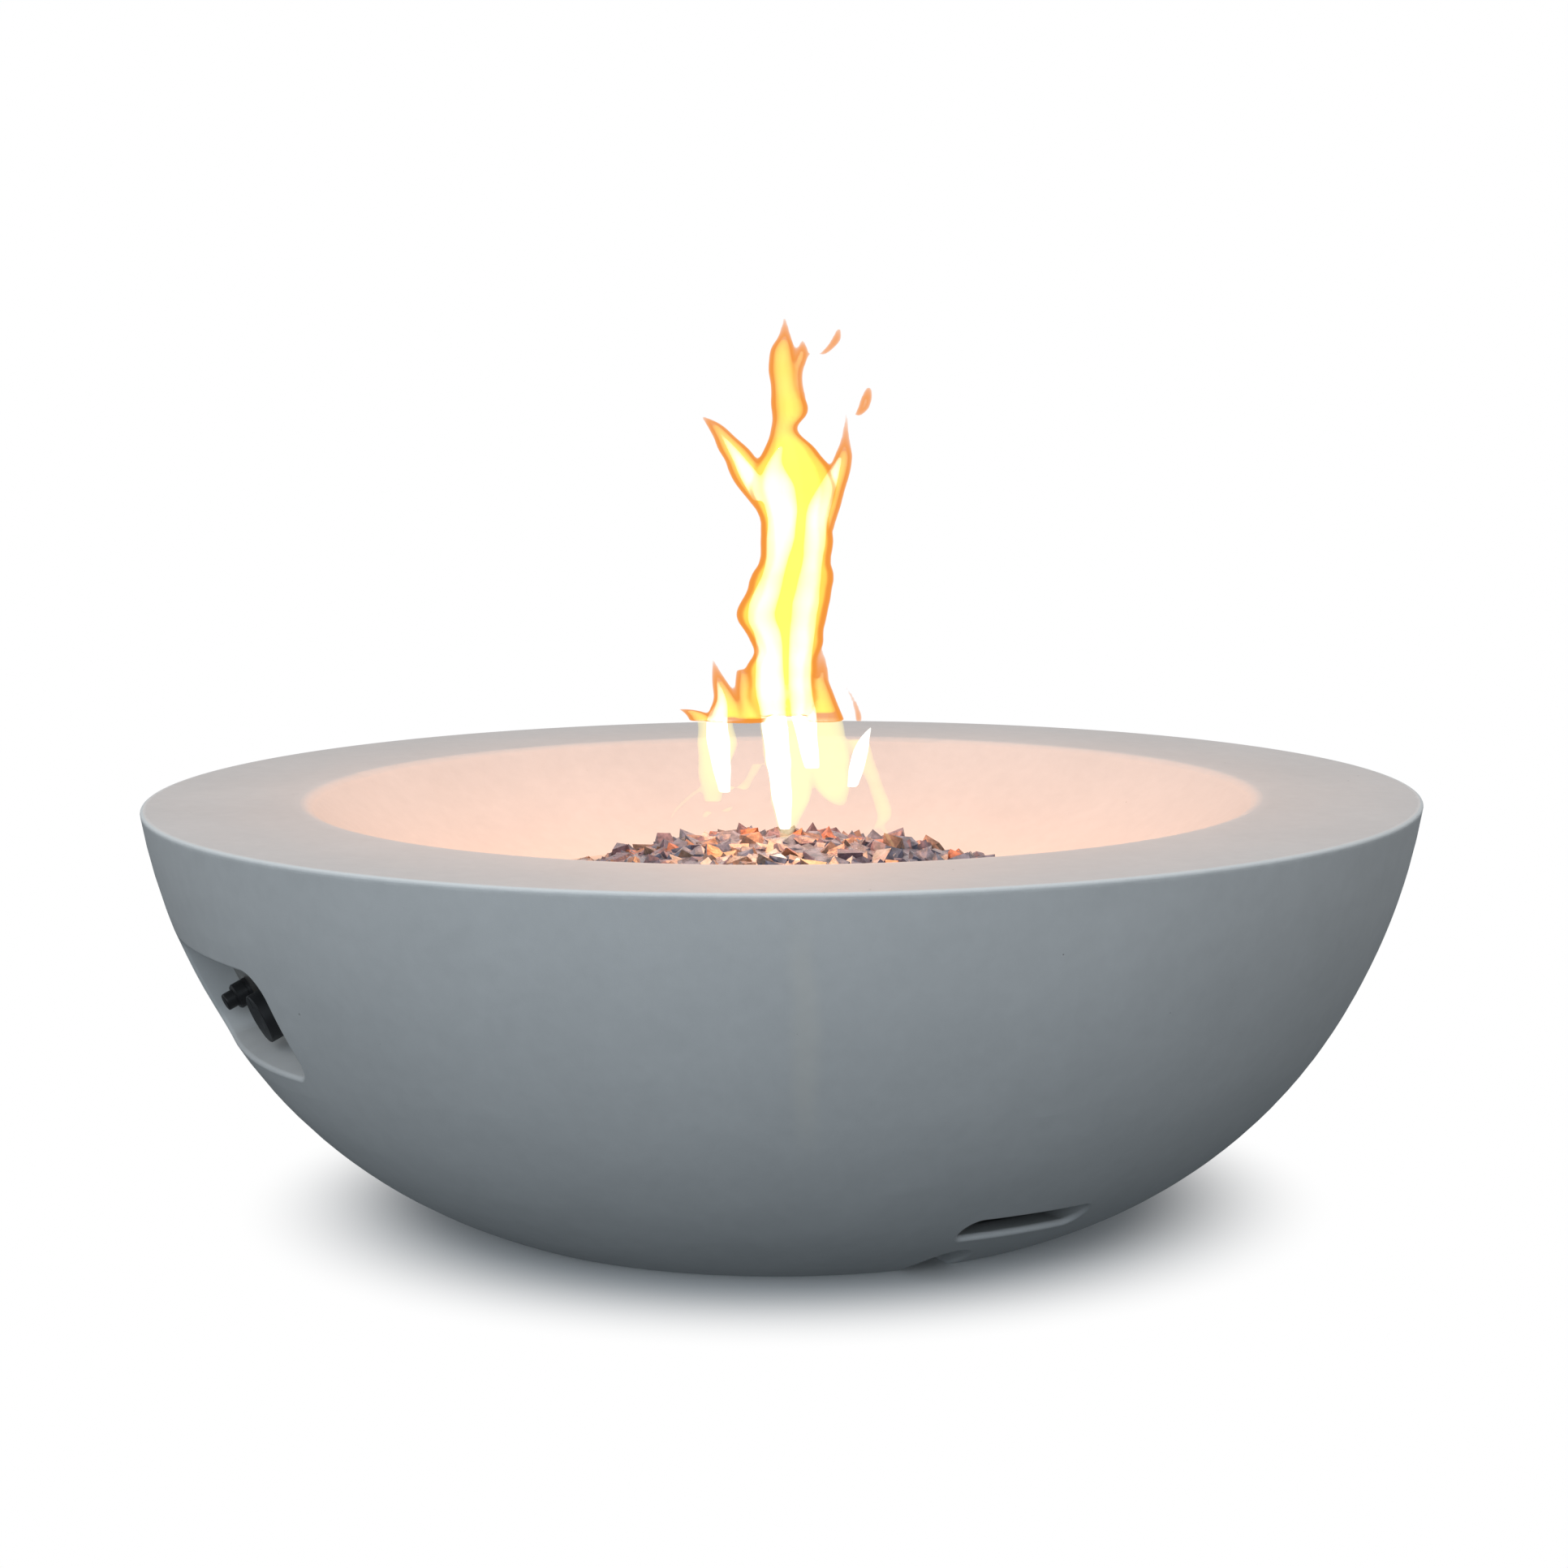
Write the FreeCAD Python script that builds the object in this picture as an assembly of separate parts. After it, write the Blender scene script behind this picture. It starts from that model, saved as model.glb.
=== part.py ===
import FreeCAD, Part
import math
import os

from FreeCAD import Vector

# A floor-standing gas fire bowl of thin cast concrete. Millimetres, Z up.
# The origin is the centre of the foot, on the ground. The control recess faces -Y.

# Outside of the bowl: two tangent arcs from the rim down to the foot
RIM_RADIUS = 535.0
RIM_HEIGHT = 347.0
UPPER_ARC = 503.0
LOWER_ARC = 393.0
RIM_SLOPE = 9.0
MID_SLOPE = 31.6
WALL = 18.0
RIM_DEPTH = 22.0
FLOOR = 20.0
FLOOR_HOLE_RADIUS = 150.0
RIM_EDGE_ROUND = 2.5
MOUTH_ROUND = 3.0
MOUTH_REACH = 200.0
MOUTH_MARGIN = 10.0

# Fire basin: a shallow dish whose slope eases towards the ledge that the pan hangs on
LEDGE_RADIUS = 256.0
LEDGE_Z = 260.0
LEDGE_HOLE_RADIUS = 236.0
LEDGE_THICKNESS = 20.0
LEDGE_BEVEL = 6.0
BASIN_ARC = 572.5
BASIN_FOOT_SLOPE = 22.0
BASIN_LIP_SLOPE = 38.0
BASIN_FOOT_Z = 263.9
LIP_ROUND = 16.0

# Control recess: horizontal roof, floor that climbs inwards, side walls with a little draft
RECESS_TOP = 250.0
RECESS_BOTTOM = 160.0
RECESS_FRONT_RADIUS = 464.0
RECESS_FLOOR_SLOPE = 15.0
RECESS_OUTER_Y = -530.0
RECESS_INNER_Y = -420.0
RECESS_HALF_OUTER = 117.0
RECESS_HALF_INNER = 112.0
RECESS_CORNER = 22.0
RECESS_WALL = 20.0

# Control panel plane: its front face leans outwards at the top
PANEL_TILT = 25.0
PANEL_Y = -441.7
PANEL_Z = 200.0
PANEL_THICKNESS = 1.5
PANEL_HALF_WIDTH = 128.0
PANEL_LOW = -45.0
PANEL_HIGH = 66.0
PANEL_SCREW_X = 121.0
PANEL_SCREW_RISE = 30.0
INSERT_RADIUS = 3.5
INSERT_LENGTH = 12.0
SCREW_RADIUS = 2.0

# Vent slots and hose notch
SLOT_AZIMUTH = 96.0
SLOT_BOTTOM = 46.0
SLOT_TOP = 65.0
SLOT_HALF_WIDTH = 56.0
NOTCH_WIDTH = 42.0
NOTCH_HEIGHT = 28.0

# Burner pan and burner
PAN_FLANGE_RADIUS = 252.0
PAN_RADIUS = 232.0
PAN_FLOOR_Z = 208.0
PAN_SHEET = 1.5
PAN_FLOOR_TOP = PAN_FLOOR_Z + PAN_SHEET
PAN_BEND = 5.0
PIPE_GAP = 0.6
WEEP_COUNT = 6
WEEP_CIRCLE = 180.0
WEEP_RADIUS = 3.0
BURNER_RADIUS = 105.0
BURNER_Z = 238.0
BURNER_TUBE = 9.5
BURNER_BORE = 8.0
PORT_COUNT = 24
PORT_RADIUS = 1.3
HUB_RADIUS = 16.0
HUB_BOTTOM = 220.5
HUB_TOP = 250.0
NIPPLE_RADIUS = 10.6
NIPPLE_BORE = 8.0
NIPPLE_BOTTOM = 178.0
NIPPLE_TOP = 234.0
NUT_FLATS = 32.0
NUT_HEIGHT = 8.0
WASHER_RADIUS = 20.0
WASHER_SHEET = 1.5
MIXER_RADIUS = 15.0
MIXER_TOP = 194.0
MIXER_BOTTOM = 132.0
JET_RADIUS = 5.0
JET_LENGTH = 14.0
JET_HEX = 7.0

# Crushed glass bed: crown, edge and how fast it falls away
GLASS_TOP = 316.0
GLASS_RADIUS = 243.0
GLASS_EDGE_Z = 262.5
GLASS_POWER = 2.3
GLASS_GAP = 0.5

# Spark electrode and flame sensor, beside the burner on the side of the controls
SENSOR_Y = -138.0
ELECTRODE_X = -8.0
SENSOR_X = 8.0
SLEEVE_RADIUS = 3.5
SLEEVE_BOTTOM = 188.0
PIN_RADIUS = 1.2
PIN_BOTTOM = 184.0
PROBE_RADIUS = 3.0
PROBE_BOTTOM = 196.0

# Folded guard over the electrode and the sensor
GUARD_HALF_WIDTH = 34.0
GUARD_BACK_Y = SENSOR_Y - 16.0
GUARD_FRONT_Y = SENSOR_Y + 18.0
GUARD_TOP = 270.0
GUARD_SHEET = 1.2
GUARD_FOOT_TOP = PAN_FLOOR_TOP + GUARD_SHEET
GUARD_SCREW_X = 25.0
GUARD_SLOTS = 5
GUARD_SLOT_PITCH = 9.0
GUARD_SLOT_WIDTH = 4.0

# Valve and knob, along the axis square to the panel
KNOB_RADIUS = 21.0
KNOB_FACE = 20.0
KNOB_BACK = 5.0
HUB_OUTER_RADIUS = 7.5
STEM_RADIUS = 4.0
STEM_FRONT = 16.0
STEM_FLAT = 2.4
STEM_KEY = 5.0
VALVE_RADIUS = 17.0
VALVE_FRONT = -12.0
VALVE_BACK = -58.0
VALVE_SCREW_UP = 12.5
BONNET_SCREW_X = 11.8
BONNET_SCREW_RADIUS = 1.5
BONNET_SCREW_SEAT = -5.5
PLUG_FRONT = -24.0
PLUG_FRONT_RADIUS = 8.0
SEAT_BACK = -46.0
MAGNET_RADIUS = 9.95
MAGNET_BACK = -78.0
PORT_DEPTH = -33.0
BOSS_RADIUS = 10.0
BOSS_REACH = 27.0
BOSS_SOCKET = 18.0
OUTLET_WAY = Vector(0, -1, 0)
INLET_WAY = Vector(1, 0, 0)
RUNNING_GAP = 0.05

# Gas fittings: flare threads, their bore, and the inlet elbow right of the valve
THREAD_RADIUS = 7.9
THREAD_LENGTH = 12.0
FITTING_BORE = 3.5
SPIGOT_RADIUS = 6.0
ELBOW_RADIUS = 8.5
KNUCKLE_RADIUS = 11.0
INLET_X = 43.0
INLET_COLLAR = 18.0
INLET_REACH = 30.0
FLARE_NUT_FLATS = 22.0
FLARE_NUT_CORNER = 12.0
FLARE_NUT_LENGTH = 20.0

# Igniter, left of the knob
IGNITER_X = -88.0
IGNITER_COLLAR_RADIUS = 10.75
IGNITER_COLLAR = 14.0
IGNITER_BARREL_RADIUS = 9.0
IGNITER_BACK = -56.0
BUTTON_RADIUS = 7.25
BUTTON_FACE = 23.3
TERMINAL_X = 4.5
TERMINAL_LENGTH = 8.0

# Flexible gas tube
HOSE_RADIUS = 6.3
HOSE_BORE = 4.5

OUT = "parts"


def save(shape, name):
    """Write one named piece."""
    if not shape.isValid():
        print("INVALID", name)
    shape.exportStep(os.path.join(OUT, name + ".step"))
    print(name, len(shape.Solids), round(shape.Volume / 1000.0, 2), "cm3")


def cylinder(radius, low, high, x=0.0, y=0.0):
    """Upright cylinder between two heights."""
    return Part.makeCylinder(radius, high - low, Vector(x, y, low))


def ring(outer, inner, low, high, x=0.0, y=0.0):
    """Upright tube or washer between two heights."""
    return cylinder(outer, low, high, x, y).cut(cylinder(inner, low - 1, high + 1, x, y))


def box(x_low, x_high, y_low, y_high, z_low, z_high):
    """Block between six planes."""
    return Part.makeBox(x_high - x_low, y_high - y_low, z_high - z_low, Vector(x_low, y_low, z_low))


def hexagon(flats, low, high, x=0.0, y=0.0):
    """Upright hexagonal prism, given its size across the flats."""
    corner = flats / math.sqrt(3.0)
    points = []
    for i in range(7):
        turn = math.radians(60.0 * i)
        points.append(Vector(x + corner * math.cos(turn), y + corner * math.sin(turn), low))
    return Part.Face(Part.makePolygon(points)).extrude(Vector(0, 0, high - low))


def revolve(edges):
    """Solid of a closed outline in the XZ plane, turned round Z."""
    face = Part.Face(Part.Wire(edges))
    return face.revolve(Vector(0, 0, 0), Vector(0, 0, 1), 360.0)


def line(a, b):
    """Straight edge between two (radius, height) points."""
    return Part.LineSegment(Vector(a[0], 0, a[1]), Vector(b[0], 0, b[1])).toShape()


def arc(a, mid, b):
    """Arc through three (radius, height) points."""
    return Part.Arc(Vector(a[0], 0, a[1]), Vector(mid[0], 0, mid[1]), Vector(b[0], 0, b[1])).toShape()


def on_panel(shape, x=0.0):
    """Stand a shape made along Z square to the panel, Z = 0 on the panel's front face."""
    turn = FreeCAD.Rotation(Vector(1, 0, 0), 90.0 + PANEL_TILT)
    placed = shape.copy()
    placed.Placement = FreeCAD.Placement(Vector(x, PANEL_Y, PANEL_Z), turn).multiply(placed.Placement)
    return placed


def panel_point(x, up, out):
    """Point at a place on the panel and a distance in front of it."""
    tilt = math.radians(PANEL_TILT)
    y = PANEL_Y - up * math.sin(tilt) - out * math.cos(tilt)
    z = PANEL_Z + up * math.cos(tilt) - out * math.sin(tilt)
    return Vector(x, y, z)


def tube(points, radii, outer, bore=0.0):
    """Tube along straight runs joined by tangent arcs, one radius for each inner point."""
    edges = []
    start = points[0]
    for i in range(1, len(points) - 1):
        corner = points[i]
        back = (points[i - 1] - corner).normalize()
        ahead = (points[i + 1] - corner).normalize()
        half = back.getAngle(ahead) / 2.0
        reach = radii[i - 1] / math.tan(half)
        enter = corner + back * reach
        leave = corner + ahead * reach
        inward = (back + ahead).normalize()
        middle = corner + inward * (radii[i - 1] / math.sin(half) - radii[i - 1])
        if (enter - start).Length > 0.01:
            edges.append(Part.LineSegment(start, enter).toShape())
        edges.append(Part.Arc(enter, middle, leave).toShape())
        start = leave
    edges.append(Part.LineSegment(start, points[-1]).toShape())
    path = Part.Wire(edges)
    heading = points[1] - points[0]
    solid = path.makePipeShell([circle(points[0], heading, outer)], True, True)
    if bore > 0.0:
        inner = path.makePipeShell([circle(points[0], heading, bore)], True, True)
        solid = solid.cut(inner)
    section = math.pi * (outer ** 2 - bore ** 2)
    print("tube volume over section times length", round(solid.Volume / (section * path.Length), 4))
    return solid


def circle(centre, normal, radius):
    """Closed round wire."""
    return Part.Wire([Part.Circle(centre, normal, radius).toShape()])


def helix_point(radius, pitch, turns):
    """Point on a helix after a number of turns."""
    angle = 2 * math.pi * turns
    return Vector(radius * math.cos(angle), radius * math.sin(angle), pitch * turns)


def helix_heading(radius, pitch, turns):
    """Unit direction of travel on a helix after a number of turns."""
    angle = 2 * math.pi * turns
    circle_length = 2 * math.pi * radius
    return Vector(-circle_length * math.sin(angle), circle_length * math.cos(angle), pitch).normalize()


def arc_from_heading(a, heading, b):
    """Arc that leaves a along a heading and ends at b."""
    chord = b - a
    along = chord * (1.0 / chord.Length)
    turn = math.acos(max(-1.0, min(1.0, along.dot(heading))))
    side = (heading - along * along.dot(heading)).normalize()
    middle = (a + b) * 0.5 + side * (chord.Length / 2 * math.tan(turn / 2))
    return Part.Arc(a, middle, b).toShape()


def biarc(a, heading_a, b, heading_b):
    """Two tangent arcs that join two points and keep both headings."""
    gap = b - a
    both = heading_a + heading_b
    spread = 2 * (1 - heading_a.dot(heading_b))
    across = gap.dot(both)
    reach = (math.sqrt(across ** 2 + spread * gap.dot(gap)) - across) / spread
    first = a + heading_a * reach
    second = b - heading_b * reach
    middle = (first + second) * 0.5
    heading_middle = (second - first).normalize()
    return [arc_from_heading(a, heading_a, middle), arc_from_heading(middle, heading_middle, b)]


def coil(mean_radius, wire_radius, low, high, turns):
    """Compression spring between two heights, wound in quarter turns."""
    pitch = (high - low - 2 * wire_radius) / turns
    edges = []
    for i in range(4 * turns):
        start = i / 4.0
        end = (i + 1) / 4.0
        heading_start = helix_heading(mean_radius, pitch, start)
        heading_end = helix_heading(mean_radius, pitch, end)
        point_start = helix_point(mean_radius, pitch, start)
        point_end = helix_point(mean_radius, pitch, end)
        edges.extend(biarc(point_start, heading_start, point_end, heading_end))
    profile = circle(helix_point(mean_radius, pitch, 0), helix_heading(mean_radius, pitch, 0), wire_radius)
    spring = Part.Wire(edges).makePipeShell([profile], True, False)
    spring.translate(Vector(0, 0, low + wire_radius))
    return spring


def upper_point(slope, inset=0.0):
    """Point of the bowl's upper arc where it leans by slope degrees, moved in by inset."""
    first = math.radians(RIM_SLOPE)
    turn = math.radians(slope)
    centre_r = RIM_RADIUS - UPPER_ARC * math.cos(first)
    centre_z = RIM_HEIGHT + UPPER_ARC * math.sin(first)
    radius = UPPER_ARC - inset
    return (centre_r + radius * math.cos(turn), centre_z - radius * math.sin(turn))


def lower_centre():
    """Centre of the bowl's lower arc, tangent to the upper one."""
    joint = upper_point(MID_SLOPE)
    turn = math.radians(MID_SLOPE)
    return (joint[0] - LOWER_ARC * math.cos(turn), joint[1] + LOWER_ARC * math.sin(turn))


def lower_point(slope, inset=0.0):
    """Point of the bowl's lower arc where it leans by slope degrees, moved in by inset."""
    centre = lower_centre()
    turn = math.radians(slope)
    radius = LOWER_ARC - inset
    return (centre[0] + radius * math.cos(turn), centre[1] - radius * math.sin(turn))


def lower_slope_at(height, inset=0.0):
    """Lean of the lower arc where it reaches a height."""
    return math.degrees(math.asin((lower_centre()[1] - height) / (LOWER_ARC - inset)))


def upper_slope_at(height, inset=0.0):
    """Lean of the upper arc where it reaches a height."""
    centre_z = RIM_HEIGHT + UPPER_ARC * math.sin(math.radians(RIM_SLOPE))
    return math.degrees(math.asin((centre_z - height) / (UPPER_ARC - inset)))


def basin_point(slope, inset=0.0):
    """Point of the basin's dished face where it climbs at slope degrees."""
    foot = math.radians(BASIN_FOOT_SLOPE)
    turn = math.radians(slope)
    centre_r = LEDGE_RADIUS - BASIN_ARC * math.sin(foot)
    centre_z = BASIN_FOOT_Z + BASIN_ARC * math.cos(foot)
    radius = BASIN_ARC + inset
    return (centre_r + radius * math.sin(turn), centre_z - radius * math.cos(turn))


def basin_slope_at(height, inset=0.0):
    """Slope of the basin's face, or of its underside, at a height."""
    centre_z = BASIN_FOOT_Z + BASIN_ARC * math.cos(math.radians(BASIN_FOOT_SLOPE))
    return math.degrees(math.acos((centre_z - height) / (BASIN_ARC + inset)))


def outer_edges():
    """Outside of the bowl from the rim's edge down to the ground."""
    ground = lower_slope_at(0.0)
    upper_middle = upper_point((RIM_SLOPE + MID_SLOPE) / 2)
    lower_middle = lower_point((MID_SLOPE + ground) / 2)
    top = arc(upper_point(RIM_SLOPE), upper_middle, upper_point(MID_SLOPE))
    low = arc(lower_point(MID_SLOPE), lower_middle, lower_point(ground))
    return [top, low]


def lip_points():
    """Rounded lip between the flat rim and the basin: rim end, middle and basin end."""
    end = basin_point(BASIN_LIP_SLOPE)
    points = []
    for slope in (0.0, BASIN_LIP_SLOPE / 2, BASIN_LIP_SLOPE):
        turn = math.radians(slope)
        full = math.radians(BASIN_LIP_SLOPE)
        r = end[0] + LIP_ROUND * (math.sin(full) - math.sin(turn))
        z = end[1] + LIP_ROUND * (math.cos(turn) - math.cos(full))
        points.append((r, z))
    return points


def bowl_shell():
    """Rim, basin, ledge, outer wall and floor ring in one hollow casting."""
    lip = lip_points()
    rim_z = lip[0][1]
    ground = lower_slope_at(0.0)
    under_rim = rim_z - RIM_DEPTH
    hang = basin_slope_at(under_rim, WALL)
    ledge_back = basin_point(BASIN_FOOT_SLOPE, WALL)
    low_ledge = LEDGE_Z - LEDGE_THICKNESS
    inside_top = upper_slope_at(under_rim, WALL)
    inside_low = lower_slope_at(FLOOR, WALL)
    floor_out = lower_point(inside_low, WALL)
    edges = outer_edges()
    edges.append(line(lower_point(ground), (FLOOR_HOLE_RADIUS, 0.0)))
    edges.append(line((FLOOR_HOLE_RADIUS, 0.0), (FLOOR_HOLE_RADIUS, FLOOR)))
    edges.append(line((FLOOR_HOLE_RADIUS, FLOOR), floor_out))
    middle = lower_point((inside_low + MID_SLOPE) / 2, WALL)
    edges.append(arc(floor_out, middle, lower_point(MID_SLOPE, WALL)))
    middle = upper_point((inside_top + MID_SLOPE) / 2, WALL)
    edges.append(arc(upper_point(MID_SLOPE, WALL), middle, upper_point(inside_top, WALL)))
    edges.append(line(upper_point(inside_top, WALL), basin_point(hang, WALL)))
    middle = basin_point((hang + BASIN_FOOT_SLOPE) / 2, WALL)
    edges.append(arc(basin_point(hang, WALL), middle, ledge_back))
    edges.append(line(ledge_back, (LEDGE_RADIUS - LEDGE_BEVEL, low_ledge)))
    edges.append(line((LEDGE_RADIUS - LEDGE_BEVEL, low_ledge), (LEDGE_HOLE_RADIUS, low_ledge)))
    edges.append(line((LEDGE_HOLE_RADIUS, low_ledge), (LEDGE_HOLE_RADIUS, LEDGE_Z)))
    edges.append(line((LEDGE_HOLE_RADIUS, LEDGE_Z), (LEDGE_RADIUS, LEDGE_Z)))
    edges.append(line((LEDGE_RADIUS, LEDGE_Z), basin_point(BASIN_FOOT_SLOPE)))
    middle = basin_point((BASIN_FOOT_SLOPE + BASIN_LIP_SLOPE) / 2)
    edges.append(arc(basin_point(BASIN_FOOT_SLOPE), middle, lip[2]))
    edges.append(arc(lip[2], lip[1], lip[0]))
    edges.append(line(lip[0], upper_point(RIM_SLOPE)))
    return revolve(edges)


def outer_body():
    """Everything inside the bowl's outer face, for trimming the recess walls."""
    ground = lower_point(lower_slope_at(0.0))
    edges = outer_edges()
    edges.append(line(ground, (0.0, 0.0)))
    edges.append(line((0.0, 0.0), (0.0, RIM_HEIGHT)))
    edges.append(line((0.0, RIM_HEIGHT), (RIM_RADIUS, RIM_HEIGHT)))
    return revolve(edges)


def rounded_rectangle(half_width, low, high, y, corner):
    """Closed wire in a plane square to Y."""
    left = -half_width
    right = half_width
    k = corner * (1.0 - math.sqrt(0.5))

    def at(x, z):
        return Vector(x, y, z)

    def straight(a, b):
        return Part.LineSegment(a, b).toShape()

    def bend(a, m, b):
        return Part.Arc(a, m, b).toShape()

    edges = []
    edges.append(straight(at(left + corner, low), at(right - corner, low)))
    edges.append(bend(at(right - corner, low), at(right - k, low + k), at(right, low + corner)))
    edges.append(straight(at(right, low + corner), at(right, high - corner)))
    edges.append(bend(at(right, high - corner), at(right - k, high - k), at(right - corner, high)))
    edges.append(straight(at(right - corner, high), at(left + corner, high)))
    edges.append(bend(at(left + corner, high), at(left + k, high - k), at(left, high - corner)))
    edges.append(straight(at(left, high - corner), at(left, low + corner)))
    edges.append(bend(at(left, low + corner), at(left + k, low + k), at(left + corner, low)))
    return Part.Wire(edges)


def recess_floor(y):
    """Height of the recess floor, which climbs inwards."""
    return RECESS_BOTTOM + (y + RECESS_FRONT_RADIUS) * math.tan(math.radians(RECESS_FLOOR_SLOPE))


def recess_block(grow):
    """The recess as a tapered block, made larger on every side by grow."""
    wires = []
    for y, half in ((RECESS_OUTER_Y, RECESS_HALF_OUTER), (RECESS_INNER_Y, RECESS_HALF_INNER)):
        low = recess_floor(y) - grow
        high = RECESS_TOP + grow
        wires.append(rounded_rectangle(half + grow, low, high, y, RECESS_CORNER + grow))
    return Part.makeLoft(wires, True, True)


def in_front_of_panel():
    """Large block whose near face is the panel's front face."""
    return on_panel(box(-400, 400, -400, 400, 0, 400))


def vent_slot(azimuth):
    """Stadium-shaped cutter through the wall, level and radial."""
    radius = (SLOT_TOP - SLOT_BOTTOM) / 2
    middle = (SLOT_TOP + SLOT_BOTTOM) / 2
    reach = SLOT_HALF_WIDTH - radius
    near = 290.0
    far = 420.0
    slab = box(-reach, reach, -far, -near, SLOT_BOTTOM, SLOT_TOP)
    for x in (-reach, reach):
        end = Part.makeCylinder(radius, far - near, Vector(x, -far, middle), Vector(0, 1, 0))
        slab = slab.fuse(end)
    slab.rotate(Vector(0, 0, 0), Vector(0, 0, 1), azimuth)
    return slab


def hose_notch():
    """Arched channel through the foot on the +X side."""
    radius = NOTCH_WIDTH / 2
    spring_line = NOTCH_HEIGHT - radius
    near = FLOOR_HOLE_RADIUS - 10.0
    far = 360.0
    arch = Part.makeCylinder(radius, far - near, Vector(near, 0, spring_line), Vector(1, 0, 0))
    return arch.fuse(box(near, far, -radius, radius, -5.0, spring_line))


def insert_places():
    """Places of the panel's four fixings, across and up the panel."""
    middle = (PANEL_LOW + PANEL_HIGH) / 2
    places = []
    for x in (-PANEL_SCREW_X, PANEL_SCREW_X):
        for up in (middle - PANEL_SCREW_RISE, middle + PANEL_SCREW_RISE):
            places.append((x, up))
    return places


def bowl():
    """The whole concrete casting."""
    shell = bowl_shell()
    surround = recess_block(RECESS_WALL).common(outer_body()).common(in_front_of_panel())
    casting = shell.fuse(surround)
    casting = casting.cut(recess_block(0.0))
    casting = casting.cut(vent_slot(SLOT_AZIMUTH)).cut(vent_slot(-SLOT_AZIMUTH))
    casting = casting.cut(hose_notch())
    for x, up in insert_places():
        pocket = cylinder(INSERT_RADIUS, -1.0, INSERT_LENGTH, x, up)
        casting = casting.cut(on_panel(pocket))
    return round_mouths(round_rim_edge(casting.removeSplitter()))


def outer_radius(height):
    """Radius of the bowl's outer face at a height."""
    if height > upper_point(MID_SLOPE)[1]:
        return upper_point(upper_slope_at(height))[0]
    return lower_point(lower_slope_at(height))[0]


def lies_outside(edge):
    """Tell whether an edge runs along the bowl's outer face."""
    tolerance = 0.3
    for point in edge.discretize(9):
        if point.z < -0.01 or point.z > RIM_HEIGHT - RIM_EDGE_ROUND:
            return False
        if abs(math.hypot(point.x, point.y) - outer_radius(max(point.z, 0.0))) > tolerance:
            return False
    return True


def recess_mouth(bounds):
    """Tell whether an edge of the outer face borders the recess."""
    low = RECESS_BOTTOM - MOUTH_MARGIN
    high = RECESS_TOP + MOUTH_MARGIN
    return -bounds.YMax > MOUTH_REACH and bounds.ZMin > low and bounds.ZMax < high


def slot_mouth(bounds):
    """Tell whether an edge of the outer face borders a vent slot."""
    low = SLOT_BOTTOM - MOUTH_MARGIN
    high = SLOT_TOP + MOUTH_MARGIN
    return max(bounds.XMax, -bounds.XMin) > MOUTH_REACH and bounds.ZMin > low and bounds.ZMax < high


def notch_mouth(bounds):
    """Tell whether an edge of the outer face borders the hose notch's arch."""
    level = bounds.ZMax - bounds.ZMin < 0.01
    return bounds.XMin > MOUTH_REACH and bounds.ZMax < NOTCH_HEIGHT + 1.0 and not level


def floor_hole(radius, x, y):
    """Cutter for a hole through the pan's floor."""
    return cylinder(radius, PAN_FLOOR_Z - 1, PAN_FLOOR_TOP + 1, x, y)


def pan_outline():
    """Section of the pan's sheet: flange, wall, bend and floor."""
    top = LEDGE_Z + PAN_SHEET
    inner = PAN_RADIUS - PAN_SHEET
    hole = NIPPLE_RADIUS + PIPE_GAP
    bend = PAN_BEND - PAN_SHEET
    k = PAN_BEND * (1.0 - math.sqrt(0.5))
    k_in = bend * (1.0 - math.sqrt(0.5))
    wall_foot = (PAN_RADIUS, PAN_FLOOR_Z + PAN_BEND)
    floor_edge = (PAN_RADIUS - PAN_BEND, PAN_FLOOR_Z)
    edges = []
    edges.append(line((PAN_FLANGE_RADIUS, top), (PAN_FLANGE_RADIUS, LEDGE_Z)))
    edges.append(line((PAN_FLANGE_RADIUS, LEDGE_Z), (PAN_RADIUS, LEDGE_Z)))
    edges.append(line((PAN_RADIUS, LEDGE_Z), wall_foot))
    edges.append(arc(wall_foot, (PAN_RADIUS - k, PAN_FLOOR_Z + k), floor_edge))
    edges.append(line(floor_edge, (hole, PAN_FLOOR_Z)))
    edges.append(line((hole, PAN_FLOOR_Z), (hole, PAN_FLOOR_TOP)))
    edges.append(line((hole, PAN_FLOOR_TOP), (inner - bend, PAN_FLOOR_TOP)))
    inner_middle = (inner - k_in, PAN_FLOOR_TOP + k_in)
    edges.append(arc((inner - bend, PAN_FLOOR_TOP), inner_middle, (inner, PAN_FLOOR_TOP + bend)))
    edges.append(line((inner, PAN_FLOOR_TOP + bend), (inner, top)))
    edges.append(line((inner, top), (PAN_FLANGE_RADIUS, top)))
    return edges


def round_mouths(casting):
    """Small round where the recess, the vent slots and the notch meet the outer face."""
    for borders in (recess_mouth, slot_mouth, notch_mouth):
        edges = []
        for edge in casting.Edges:
            if borders(edge.BoundBox) and lies_outside(edge):
                edges.append(edge)
        casting = casting.makeFillet(MOUTH_ROUND, edges)
    return casting


def round_rim_edge(casting):
    """Small round on the rim's outer edge."""
    rim_edges = []
    for edge in casting.Edges:
        bounds = edge.BoundBox
        level = bounds.ZMax - bounds.ZMin < 0.01
        if level and abs(bounds.ZMax - RIM_HEIGHT) < 0.5 and abs(bounds.XMax - RIM_RADIUS) < 0.5:
            rim_edges.append(edge)
    return casting.makeFillet(RIM_EDGE_ROUND, rim_edges)


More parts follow.
